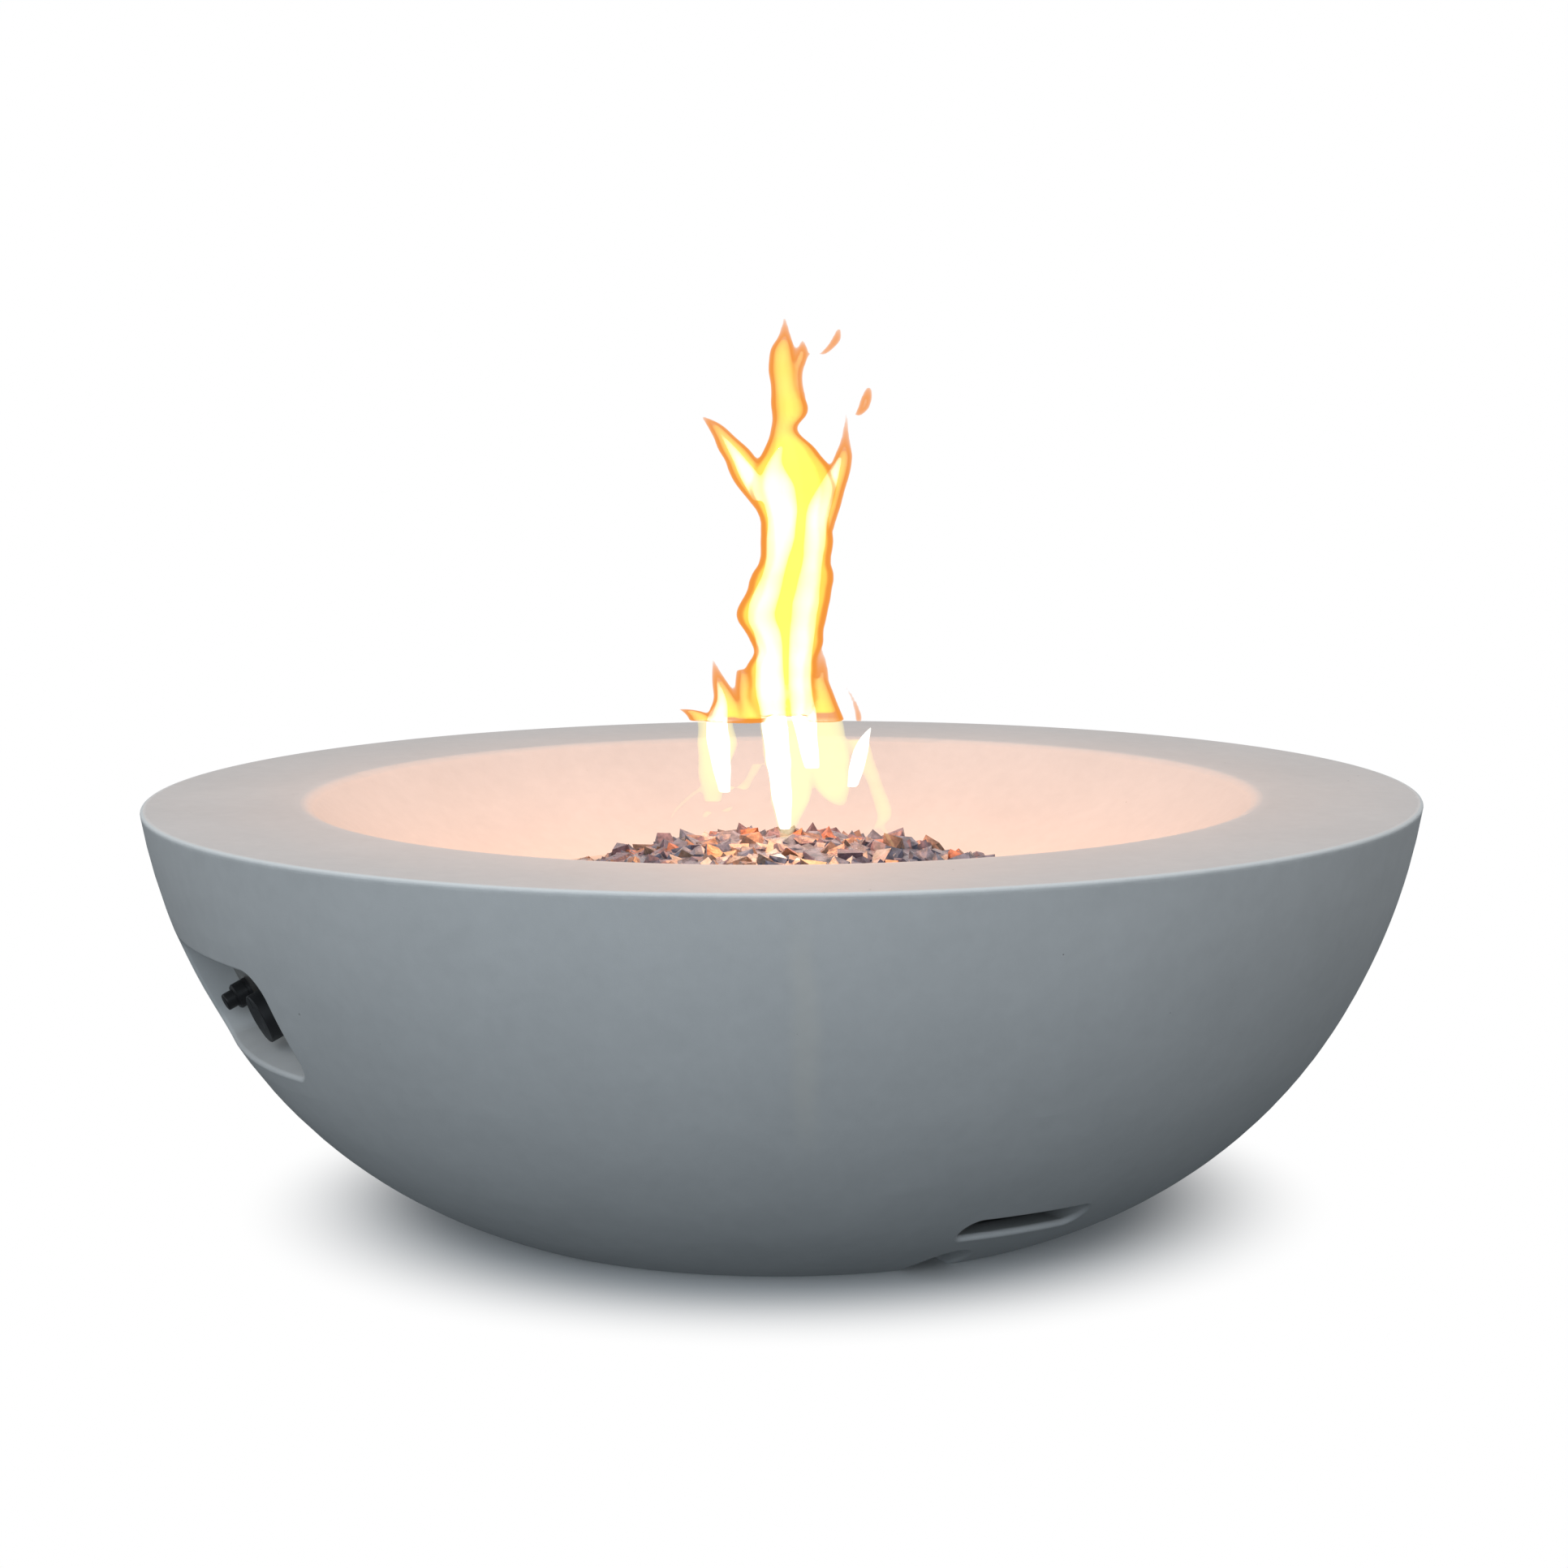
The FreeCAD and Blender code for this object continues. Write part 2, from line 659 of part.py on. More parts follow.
def burner_pan():
    """Drop-in pan: flange on the ledge, turned-down wall, floor with weep holes."""
    pan = revolve(pan_outline())
    for i in range(WEEP_COUNT):
        turn = 2 * math.pi * (i + 0.5) / WEEP_COUNT
        pan = pan.cut(floor_hole(WEEP_RADIUS, WEEP_CIRCLE * math.cos(turn), WEEP_CIRCLE * math.sin(turn)))
    pan = pan.cut(floor_hole(SLEEVE_RADIUS + 0.5, ELECTRODE_X, SENSOR_Y))
    pan = pan.cut(floor_hole(PROBE_RADIUS + 0.6, SENSOR_X, SENSOR_Y))
    for x in bracket_screw_xs():
        pan = pan.cut(floor_hole(SCREW_RADIUS + 0.1, x, SENSOR_Y))
    return pan


def burner_tubes(radius):
    """Ring and cross tube, as solid bars of one radius."""
    hoop = Part.makeTorus(BURNER_RADIUS, radius, Vector(0, 0, BURNER_Z))
    start = Vector(-BURNER_RADIUS, 0, BURNER_Z)
    cross = Part.makeCylinder(radius, 2 * BURNER_RADIUS, start, Vector(1, 0, 0))
    return hoop.fuse(cross)


def burner_ring():
    """Welded tube ring with its cross tube, hub and a row of gas ports on each side of the top."""
    cap = 4.0
    port_start = 6.5
    port_length = 4.0
    port_lean = 25.0
    outer = burner_tubes(BURNER_TUBE).fuse(cylinder(HUB_RADIUS, HUB_BOTTOM, HUB_TOP))
    cavity = burner_tubes(BURNER_BORE)
    socket = cylinder(NIPPLE_RADIUS + RUNNING_GAP, HUB_BOTTOM - 1, HUB_TOP - cap)
    burner = outer.cut(cavity).cut(socket)
    for i in range(PORT_COUNT):
        turn = 360.0 * (i + 0.5) / PORT_COUNT
        port = Part.makeCylinder(PORT_RADIUS, port_length, Vector(BURNER_RADIUS, 0, BURNER_Z + port_start))
        lean = port_lean if i % 2 else -port_lean
        port.rotate(Vector(BURNER_RADIUS, 0, BURNER_Z), Vector(0, 1, 0), lean)
        port.rotate(Vector(0, 0, 0), Vector(0, 0, 1), turn)
        burner = burner.cut(port)
    return burner


def burner_nipple():
    """Threaded pipe through the pan's floor."""
    return ring(NIPPLE_RADIUS, NIPPLE_BORE, NIPPLE_BOTTOM, NIPPLE_TOP)


def pan_washers():
    """One washer above and one below the pan's floor."""
    hole = NIPPLE_RADIUS + 0.4
    above = ring(WASHER_RADIUS, hole, PAN_FLOOR_TOP, PAN_FLOOR_TOP + WASHER_SHEET)
    below = ring(WASHER_RADIUS, hole, PAN_FLOOR_Z - WASHER_SHEET, PAN_FLOOR_Z)
    return Part.makeCompound([above, below])


def pan_locknuts():
    """Two thin hexagonal nuts that clamp the pan."""
    nuts = []
    corner_radius = NUT_FLATS / 2 + 1.5
    for low in (PAN_FLOOR_TOP + WASHER_SHEET, PAN_FLOOR_Z - WASHER_SHEET - NUT_HEIGHT):
        nut = hexagon(NUT_FLATS, low, low + NUT_HEIGHT)
        nut = nut.common(cylinder(corner_radius, low, low + NUT_HEIGHT))
        nuts.append(nut.cut(cylinder(NIPPLE_RADIUS + RUNNING_GAP, low - 1, low + NUT_HEIGHT + 1)))
    return Part.makeCompound(nuts)


def air_mixer():
    """Venturi under the pan: socket for the nipple, throat, four air windows."""
    socket = 22.0
    waist = 12.0
    throat = 7.5
    window_radius = 4.0
    window_z = MIXER_BOTTOM + 24
    seat = MIXER_BOTTOM + JET_LENGTH
    body = cylinder(MIXER_RADIUS, MIXER_TOP - socket, MIXER_TOP)
    body = body.fuse(cylinder(waist, MIXER_BOTTOM, MIXER_TOP - socket + 2))
    body = body.fuse(hexagon(28.0, MIXER_BOTTOM, MIXER_BOTTOM + 10))
    body = body.cut(cylinder(NIPPLE_RADIUS + RUNNING_GAP, NIPPLE_BOTTOM, MIXER_TOP + 1))
    body = body.cut(cylinder(throat, seat, NIPPLE_BOTTOM + 1))
    body = body.cut(cylinder(JET_RADIUS + RUNNING_GAP, MIXER_BOTTOM - 1, seat + 1))
    for i in range(4):
        window = Part.makeCylinder(window_radius, 20.0, Vector(0, 0, window_z), Vector(1, 0, 0))
        window.rotate(Vector(0, 0, 0), Vector(0, 0, 1), 90.0 * i + 45.0)
        body = body.cut(window)
    return body


def gas_orifice():
    """Brass jet screwed into the mixer, with a flare thread below."""
    shoulder = MIXER_BOTTOM - JET_HEX
    jet_hole = 0.7
    jet = cylinder(JET_RADIUS, MIXER_BOTTOM, MIXER_BOTTOM + JET_LENGTH)
    jet = jet.fuse(hexagon(17.0, shoulder, MIXER_BOTTOM))
    jet = jet.fuse(cylinder(THREAD_RADIUS, shoulder - THREAD_LENGTH, shoulder))
    jet = jet.cut(cylinder(FITTING_BORE, shoulder - THREAD_LENGTH - 1, MIXER_BOTTOM + 8))
    return jet.cut(cylinder(jet_hole, MIXER_BOTTOM, MIXER_BOTTOM + JET_LENGTH + 1))


def glass_height(radius):
    """Height of the glass bed at a distance from its centre."""
    fall = GLASS_TOP - GLASS_EDGE_Z
    return GLASS_TOP - fall * (radius / GLASS_RADIUS) ** GLASS_POWER


def fire_glass():
    """Bed of crushed glass: fills the pan round the burner and crowns above it."""
    steps = 6
    inner = PAN_RADIUS - PAN_SHEET - 0.3
    flange_z = LEDGE_Z + PAN_SHEET
    crown = []
    for i in range(steps + 1):
        radius = GLASS_RADIUS * i / steps
        crown.append(Vector(radius, 0, glass_height(radius)))
    curve = Part.BSplineCurve()
    curve.interpolate(crown)
    edges = [curve.toShape()]
    edges.append(line((GLASS_RADIUS, GLASS_EDGE_Z), (GLASS_RADIUS, flange_z)))
    edges.append(line((GLASS_RADIUS, flange_z), (inner, flange_z)))
    edges.append(line((inner, flange_z), (inner, PAN_FLOOR_TOP + PAN_BEND)))
    edges.append(line((inner, PAN_FLOOR_TOP + PAN_BEND), (inner - PAN_BEND, PAN_FLOOR_TOP)))
    edges.append(line((inner - PAN_BEND, PAN_FLOOR_TOP), (0.0, PAN_FLOOR_TOP)))
    edges.append(line((0.0, PAN_FLOOR_TOP), (0.0, GLASS_TOP)))
    bed = revolve(edges)
    bed = bed.cut(burner_tubes(BURNER_TUBE + GLASS_GAP))
    bed = bed.cut(cylinder(WASHER_RADIUS + GLASS_GAP, PAN_FLOOR_TOP - 1, HUB_TOP + GLASS_GAP))
    return bed.cut(guard_space(GLASS_GAP))


def guard_space(grow):
    """Outer block of the spark guard, made larger by grow."""
    half = GUARD_HALF_WIDTH + grow
    low = PAN_FLOOR_TOP - 1.0
    return box(-half, half, GUARD_BACK_Y - grow, GUARD_FRONT_Y + grow, low, GUARD_TOP + grow)


def bracket_screw_xs():
    """Places of the guard's two screws across it."""
    return (-GUARD_SCREW_X, GUARD_SCREW_X)


def foot_hole(radius, x):
    """Cutter for a hole through the guard's foot."""
    return cylinder(radius, PAN_FLOOR_TOP - 1, GUARD_FOOT_TOP + 1, x, SENSOR_Y)


def electrode_bracket():
    """Folded steel guard that keeps glass off the electrode and sensor, with its foot on the pan."""
    half = GUARD_HALF_WIDTH
    sheet = GUARD_SHEET
    low = PAN_FLOOR_TOP
    foot = box(-half, half, GUARD_BACK_Y, GUARD_FRONT_Y, low, GUARD_FOOT_TOP)
    back = box(-half, half, GUARD_BACK_Y, GUARD_BACK_Y + sheet, low, GUARD_TOP)
    left = box(-half, -half + sheet, GUARD_BACK_Y, GUARD_FRONT_Y, low, GUARD_TOP)
    right = box(half - sheet, half, GUARD_BACK_Y, GUARD_FRONT_Y, low, GUARD_TOP)
    roof = box(-half, half, GUARD_BACK_Y, GUARD_FRONT_Y, GUARD_TOP - sheet, GUARD_TOP)
    guard = foot.fuse(back).fuse(left).fuse(right).fuse(roof)
    guard = guard.cut(foot_hole(SLEEVE_RADIUS + 0.4, ELECTRODE_X))
    guard = guard.cut(foot_hole(PROBE_RADIUS + 0.5, SENSOR_X))
    for x in bracket_screw_xs():
        guard = guard.cut(foot_hole(SCREW_RADIUS + 0.1, x))
    for i in range(GUARD_SLOTS):
        left_side = -20.0 + GUARD_SLOT_PITCH * i
        right_side = left_side + GUARD_SLOT_WIDTH
        back_side = GUARD_BACK_Y - 1
        guard = guard.cut(box(left_side, right_side, back_side, back_side + sheet + 2, 225, GUARD_TOP - 8))
    return guard.removeSplitter()


def bracket_screws():
    """Two screws with nuts that hold the guard to the pan."""
    head = 2.4
    nut_height = 3.2
    shapes = []
    for x in bracket_screw_xs():
        screw = cylinder(3.6, GUARD_FOOT_TOP, GUARD_FOOT_TOP + head, x, SENSOR_Y)
        screw = screw.fuse(cylinder(SCREW_RADIUS, PAN_FLOOR_Z - 7, GUARD_FOOT_TOP, x, SENSOR_Y))
        nut = hexagon(7.0, PAN_FLOOR_Z - nut_height, PAN_FLOOR_Z, x, SENSOR_Y)
        slot_floor = GUARD_FOOT_TOP + head / 2
        slot = box(x - 4, x + 4, SENSOR_Y - 0.5, SENSOR_Y + 0.5, slot_floor, slot_floor + head)
        shapes.append(screw.fuse(nut).cut(slot))
    return Part.makeCompound(shapes)


def electrode_insulator():
    """Ceramic sleeve with a collar on the pan."""
    sleeve = cylinder(SLEEVE_RADIUS, SLEEVE_BOTTOM, 246, ELECTRODE_X, SENSOR_Y)
    sleeve = sleeve.fuse(cylinder(5.2, GUARD_FOOT_TOP, 216, ELECTRODE_X, SENSOR_Y))
    return sleeve.cut(cylinder(PIN_RADIUS + RUNNING_GAP, SLEEVE_BOTTOM - 8, 250, ELECTRODE_X, SENSOR_Y))


def electrode_pin():
    """Steel pin through the sleeve, bent towards the burner at the top."""
    x = ELECTRODE_X
    points = [Vector(x, SENSOR_Y, PIN_BOTTOM), Vector(x, SENSOR_Y, 254), Vector(x, SENSOR_Y + 15, 258)]
    return tube(points, [4.0], PIN_RADIUS)


def thermocouple():
    """Flame sensor standing beside the electrode, with its collar."""
    top = 248.0
    probe = cylinder(PROBE_RADIUS, PROBE_BOTTOM, top, SENSOR_X, SENSOR_Y)
    collar = cylinder(4.8, GUARD_FOOT_TOP, 215, SENSOR_X, SENSOR_Y)
    tip = Part.makeSphere(PROBE_RADIUS, Vector(SENSOR_X, SENSOR_Y, top))
    return probe.fuse(collar).fuse(tip).removeSplitter()


def edges_in_front_of(shape, depth):
    """Edges of a shape that lie wholly in front of a depth."""
    return [edge for edge in shape.Edges if edge.BoundBox.ZMin > depth - 0.01]


def plate_hole(radius, x, up):
    """Cutter for a hole through the control panel."""
    return cylinder(radius, -PANEL_THICKNESS - 1, 1, x, up)


def control_panel():
    """Stainless plate behind the recess, with holes for the stem, the screws and the igniter."""
    corner = 6.0
    stem_hole = 6.0
    plate = box(-PANEL_HALF_WIDTH, PANEL_HALF_WIDTH, PANEL_LOW, PANEL_HIGH, -PANEL_THICKNESS, 0)
    corners = []
    for edge in plate.Edges:
        if edge.BoundBox.ZMax - edge.BoundBox.ZMin > PANEL_THICKNESS / 2:
            corners.append(edge)
    plate = plate.makeFillet(corner, corners)
    plate = plate.cut(plate_hole(stem_hole, 0, 0))
    plate = plate.cut(plate_hole(IGNITER_BARREL_RADIUS + 0.2, IGNITER_X, 0))
    for up in valve_screw_ups():
        plate = plate.cut(plate_hole(SCREW_RADIUS + 0.2, 0, up))
    for x, up in insert_places():
        plate = plate.cut(plate_hole(SCREW_RADIUS + 0.3, x, up))
    return on_panel(plate)


def panel_inserts():
    """Brass threaded inserts in the concrete round the recess."""
    outer = INSERT_RADIUS - RUNNING_GAP
    bore = SCREW_RADIUS + RUNNING_GAP
    shapes = []
    for x, up in insert_places():
        insert = ring(outer, bore, 0, INSERT_LENGTH - 0.5, x, up)
        shapes.append(on_panel(insert))
    return Part.makeCompound(shapes)


def panel_screws():
    """Four pan-head screws that hold the panel from behind."""
    head = 2.6
    slot_half = 0.5
    back = -PANEL_THICKNESS
    shapes = []
    for x, up in insert_places():
        screw = cylinder(3.8, back - head, back, x, up)
        for across, along in ((3.0, slot_half), (slot_half, 3.0)):
            slot = box(x - across, x + across, up - along, up + along, back - 3, back - 1.4)
            screw = screw.cut(slot)
        shapes.append(on_panel(screw.fuse(cylinder(SCREW_RADIUS, back, 8, x, up))))
    return Part.makeCompound(shapes)


def valve_screw_ups():
    """Heights up the panel of the two screws under the knob."""
    return (-VALVE_SCREW_UP, VALVE_SCREW_UP)


def valve_screws():
    """Two screws under the knob that hold the valve to the panel."""
    head = 2.2
    shapes = []
    for up in valve_screw_ups():
        screw = cylinder(3.7, 0, head, 0, up).fuse(cylinder(SCREW_RADIUS, -10, 0, 0, up))
        screw = screw.cut(box(-0.5, 0.5, up - 3, up + 3, 1.0, head + 1))
        shapes.append(on_panel(screw))
    return Part.makeCompound(shapes)


def bonnet_screw_xs():
    """Places across the bonnet of its two screws."""
    return (-BONNET_SCREW_X, BONNET_SCREW_X)


def valve_bonnet():
    """Front cover of the valve: guides the stem and takes the panel screws."""
    cover = cylinder(VALVE_RADIUS, VALVE_FRONT, -PANEL_THICKNESS)
    cover = cover.cut(cylinder(STEM_RADIUS + RUNNING_GAP, VALVE_FRONT - 1, 0))
    for up in valve_screw_ups():
        cover = cover.cut(cylinder(SCREW_RADIUS + RUNNING_GAP, -10.5, 0, 0, up))
    for x in bonnet_screw_xs():
        cover = cover.cut(cylinder(BONNET_SCREW_RADIUS + RUNNING_GAP, VALVE_FRONT - 1, 0, x))
        cover = cover.cut(cylinder(3.0, BONNET_SCREW_SEAT, 0, x))
    return on_panel(cover)


def bonnet_screws():
    """Two small screws that close the valve."""
    head_front = -2.4
    tip = -24.0
    shapes = []
    for x in bonnet_screw_xs():
        screw = cylinder(2.75, BONNET_SCREW_SEAT, head_front, x)
        screw = screw.fuse(cylinder(BONNET_SCREW_RADIUS, tip, BONNET_SCREW_SEAT, x))
        screw = screw.cut(hexagon(2.5, -4.0, head_front + 0.4, x))
        shapes.append(on_panel(screw))
    return Part.makeCompound(shapes)


def plug_radius(depth):
    """Radius of the tapered rotor at a depth behind the panel."""
    taper = 1.3 / 20.0
    return PLUG_FRONT_RADIUS + (depth - PLUG_FRONT) * taper


def side_bar(radius, near, far, heading):
    """Bar square to the valve's axis at the depth of its ports, between two distances from the axis."""
    return Part.makeCylinder(radius, far - near, Vector(0, 0, PORT_DEPTH) + heading * near, heading)


def valve_body():
    """Cast body: spring chamber, tapered seat, inlet and outlet bosses, magnet chamber."""
    gas_way = 3.0
    spigot = SPIGOT_RADIUS + RUNNING_GAP
    front_radius = plug_radius(PLUG_FRONT) + RUNNING_GAP
    back_radius = plug_radius(SEAT_BACK) + RUNNING_GAP
    body = cylinder(VALVE_RADIUS, VALVE_BACK, VALVE_FRONT)
    for heading in (OUTLET_WAY, INLET_WAY):
        body = body.fuse(side_bar(BOSS_RADIUS, 0.0, BOSS_REACH, heading))
    body = body.cut(cylinder(8.6, PLUG_FRONT, VALVE_FRONT + 1))
    seat_length = PLUG_FRONT - SEAT_BACK
    body = body.cut(Part.makeCone(back_radius, front_radius, seat_length, Vector(0, 0, SEAT_BACK)))
    body = body.cut(cylinder(MAGNET_RADIUS + RUNNING_GAP, VALVE_BACK - 1, SEAT_BACK))
    for heading in (OUTLET_WAY, INLET_WAY):
        body = body.cut(side_bar(gas_way, 0.0, BOSS_REACH + 1, heading))
    for heading in (OUTLET_WAY, INLET_WAY):
        body = body.cut(side_bar(spigot, BOSS_SOCKET, BOSS_REACH + 1, heading))
    for x in bonnet_screw_xs():
        body = body.cut(cylinder(BONNET_SCREW_RADIUS + RUNNING_GAP, -26, 0, x))
    return on_panel(body)


def valve_plug():
    """Tapered rotor with a square hole for the stem and a gas window."""
    back = -44.0
    half = STEM_KEY / 2 + RUNNING_GAP
    rotor = Part.makeCone(plug_radius(back), plug_radius(PLUG_FRONT), PLUG_FRONT - back, Vector(0, 0, back))
    rotor = rotor.cut(box(-half, half, -half, half, back - 1, PLUG_FRONT + 1))
    window = Part.makeCylinder(2.5, 12.0, Vector(0, 0, PORT_DEPTH), Vector(0, 1, 0))
    return on_panel(rotor.cut(window))


def valve_stem():
    """Stem: round shaft with a flat for the knob, collar, square tail in the rotor."""
    collar_front = -12.1
    collar_back = -14.1
    half = STEM_KEY / 2
    shaft = cylinder(STEM_RADIUS, collar_front, STEM_FRONT)
    shaft = shaft.cut(box(-5, 5, STEM_FLAT, 5, KNOB_BACK + 1, STEM_FRONT + 1))
    collar = cylinder(6.5, collar_back, collar_front)
    tail = box(-half, half, -half, half, -41, collar_back)
    return on_panel(shaft.fuse(collar).fuse(tail))


def stem_spring():
    """Return spring between the stem's collar and the rotor."""
    return on_panel(coil(5.4, 0.6, -23.9, -14.2, 4))


def control_knob():
    """Plain round knob with a hollow back, a hub for the stem and a pointer groove."""
    groove = 0.8
    disc = cylinder(KNOB_RADIUS, KNOB_BACK, KNOB_FACE)
    disc = disc.makeChamfer(0.8, edges_in_front_of(disc, KNOB_FACE))
    disc = disc.cut(cylinder(17.5, KNOB_BACK - 1, 13.0))
    disc = disc.fuse(cylinder(HUB_OUTER_RADIUS, KNOB_BACK, 14.0))
    bore = cylinder(STEM_RADIUS + RUNNING_GAP, KNOB_BACK - 1, STEM_FRONT + 0.2)
    bore = bore.cut(box(-6, 6, STEM_FLAT + RUNNING_GAP, 6, KNOB_BACK + 1.1, STEM_FRONT + 1))
    disc = disc.cut(bore)
    pointer = box(-groove, groove, 10.0, KNOB_RADIUS + 1, KNOB_FACE - groove, KNOB_FACE + 1)
    return on_panel(disc.cut(pointer))


def knob_clip():
    """Spring steel band round the knob's hub, open on one side."""
    low = 7.0
    high = 12.0
    half_gap = 1.2
    band = ring(8.2, HUB_OUTER_RADIUS + RUNNING_GAP, low, high)
    return on_panel(band.cut(box(-half_gap, half_gap, 0, 12, low - 1, high + 1)))


def magnet_unit():
    """Flame-failure magnet housing screwed into the back of the valve."""
    flange = VALVE_BACK - 6
    housing = cylinder(MAGNET_RADIUS, flange, -48)
    housing = housing.fuse(hexagon(22.0, flange, VALVE_BACK)).fuse(cylinder(8.0, MAGNET_BACK, flange))
    housing = housing.cut(cylinder(6.0, MAGNET_BACK + 6, -47))
    return on_panel(housing)


def magnet_plunger():
    """Armature that the stem pushes back against the magnet."""
    rod = cylinder(2.0, VALVE_BACK, -41.3)
    return on_panel(rod.fuse(cylinder(5.5, VALVE_BACK - 4, VALVE_BACK)))


def lay_along_outlet(shape):
    """Turn a shape made along Z so that it runs along the valve's outlet."""
    shape.rotate(Vector(0, 0, 0), Vector(1, 0, 0), 90)
    shape.translate(Vector(0, 0, PORT_DEPTH))
    return shape


def outlet_fitting():
    """Straight flare fitting on the valve's underside."""
    shoulder = BOSS_REACH + 6
    fitting = side_bar(SPIGOT_RADIUS, BOSS_SOCKET + 0.5, BOSS_REACH + 0.5, OUTLET_WAY)
    fitting = fitting.fuse(lay_along_outlet(hexagon(18.0, BOSS_REACH, shoulder)))
    fitting = fitting.fuse(side_bar(THREAD_RADIUS, shoulder, shoulder + THREAD_LENGTH, OUTLET_WAY))
    bore = side_bar(FITTING_BORE, BOSS_SOCKET, shoulder + THREAD_LENGTH + 3, OUTLET_WAY)
    return on_panel(fitting.cut(bore))


def inlet_elbow():
    """Elbow from the valve's side to the thread for the supply hose, which points down along the wall."""
    turn = Vector(INLET_X, 0, PORT_DEPTH)
    elbow = side_bar(SPIGOT_RADIUS, BOSS_SOCKET + 0.5, BOSS_REACH + 0.5, INLET_WAY)
    elbow = elbow.fuse(side_bar(ELBOW_RADIUS, BOSS_REACH, INLET_X, INLET_WAY))
    elbow = elbow.fuse(Part.makeSphere(KNUCKLE_RADIUS, turn))
    elbow = elbow.fuse(Part.makeCylinder(ELBOW_RADIUS, INLET_COLLAR, turn, OUTLET_WAY))
    elbow = elbow.fuse(Part.makeCylinder(THREAD_RADIUS, INLET_REACH, turn, OUTLET_WAY))
    elbow = elbow.cut(Part.makeCylinder(FITTING_BORE, INLET_REACH + 1.0, turn, OUTLET_WAY))
    elbow = elbow.cut(side_bar(FITTING_BORE, BOSS_SOCKET - 1, INLET_X, INLET_WAY))
    return on_panel(elbow)


def hose_nut_at_mixer():
    """Flare nut under the mixer."""
    low = MIXER_BOTTOM - 29
    nut = hexagon(FLARE_NUT_FLATS, low, low + FLARE_NUT_LENGTH)
    nut = nut.common(cylinder(FLARE_NUT_CORNER, low, low + FLARE_NUT_LENGTH))
    nut = nut.cut(cylinder(THREAD_RADIUS + RUNNING_GAP, low + 9.9, low + FLARE_NUT_LENGTH + 1))
    return nut.cut(cylinder(HOSE_RADIUS + RUNNING_GAP, low - 1, low + 11))


def hose_nut_at_valve():
    """Flare nut on the valve's outlet, made upright and then laid along the outlet."""
    low = BOSS_REACH + 8
    high = low + FLARE_NUT_LENGTH
    nut = hexagon(FLARE_NUT_FLATS, low, high).common(cylinder(FLARE_NUT_CORNER, low, high))
    nut = nut.cut(cylinder(THREAD_RADIUS + RUNNING_GAP, low - 1, low + 10.1))
    nut = nut.cut(cylinder(HOSE_RADIUS + RUNNING_GAP, low + 9, high + 1))
    return on_panel(lay_along_outlet(nut))


def hose_nuts():
    """The flare nuts at both ends of the flexible tube."""
    return Part.makeCompound([hose_nut_at_mixer(), hose_nut_at_valve()])


def connector_hose():
    """Flexible gas tube: down from the valve, along under the pan, up into the mixer."""
    low = 62.0
    bends = [95.0, 42.0]
    start = panel_point(0.0, -45.2, PORT_DEPTH)
    lean = math.radians(PANEL_TILT)
    run = (start.z - low) / math.cos(lean)
    corner = Vector(0, start.y + run * math.sin(lean), low)
    end = Vector(0, 0, MIXER_BOTTOM - JET_HEX - THREAD_LENGTH - 0.2)
    points = [start, corner, Vector(0, 0, low), end]
    return tube(points, bends, HOSE_RADIUS, HOSE_BORE)


def igniter_body():
    """Plastic barrel: collar in front of the panel, threaded barrel behind it, closed back."""
    cell_space = 7.6
    flange_space = 8.3
    flange_low = 4.0
    flange_high = 12.0
    collar = cylinder(IGNITER_COLLAR_RADIUS, 0, IGNITER_COLLAR)
    collar = collar.makeChamfer(1.4, edges_in_front_of(collar, IGNITER_COLLAR))
    collar = collar.cut(ring(IGNITER_COLLAR_RADIUS + 1, IGNITER_COLLAR_RADIUS - 0.7, 3.0, 4.2))
    body = collar.fuse(cylinder(IGNITER_BARREL_RADIUS, IGNITER_BACK, 0))
    body = body.cut(cylinder(cell_space, IGNITER_BACK + 6, flange_low))
    body = body.cut(cylinder(flange_space, flange_low, flange_high))
    body = body.cut(cylinder(BUTTON_RADIUS + 0.08, flange_high - 1, IGNITER_COLLAR + 1))
    return on_panel(body, IGNITER_X)


def igniter_nut():
    """Nut that clamps the igniter to the panel."""
    back = -PANEL_THICKNESS - 6
    nut = hexagon(26.0, back, -PANEL_THICKNESS)
    nut = nut.common(cylinder(14.2, back, -PANEL_THICKNESS))
    return on_panel(nut.cut(cylinder(IGNITER_BARREL_RADIUS + RUNNING_GAP, back - 2, 0)), IGNITER_X)


def igniter_button():
    """Push button with a rounded front edge and a flange that holds it in the collar."""
    back = 9.5
    button = cylinder(BUTTON_RADIUS, back, BUTTON_FACE)
    button = button.makeFillet(1.6, edges_in_front_of(button, BUTTON_FACE))
    return on_panel(button.fuse(cylinder(8.1, back, back + 2.4)), IGNITER_X)


def igniter_spring():
    """Contact spring between the cell and the button."""
    return on_panel(coil(5.0, 0.45, 2.0, 9.4, 3), IGNITER_X)


def battery_cell():
    """The cell inside the igniter, with its cap."""
    front = 0.6
    cell = cylinder(7.1, IGNITER_BACK + 6.1, front).fuse(cylinder(2.7, front, front + 1.2))
    return on_panel(cell, IGNITER_X)


def igniter_terminals():
    """Two spade terminals on the igniter's back."""
    shapes = []
    for x in (-TERMINAL_X, TERMINAL_X):
        blade = box(x - 0.4, x + 0.4, -3.1, 3.1, IGNITER_BACK - TERMINAL_LENGTH, IGNITER_BACK)
        shapes.append(on_panel(blade, IGNITER_X))
    return Part.makeCompound(shapes)


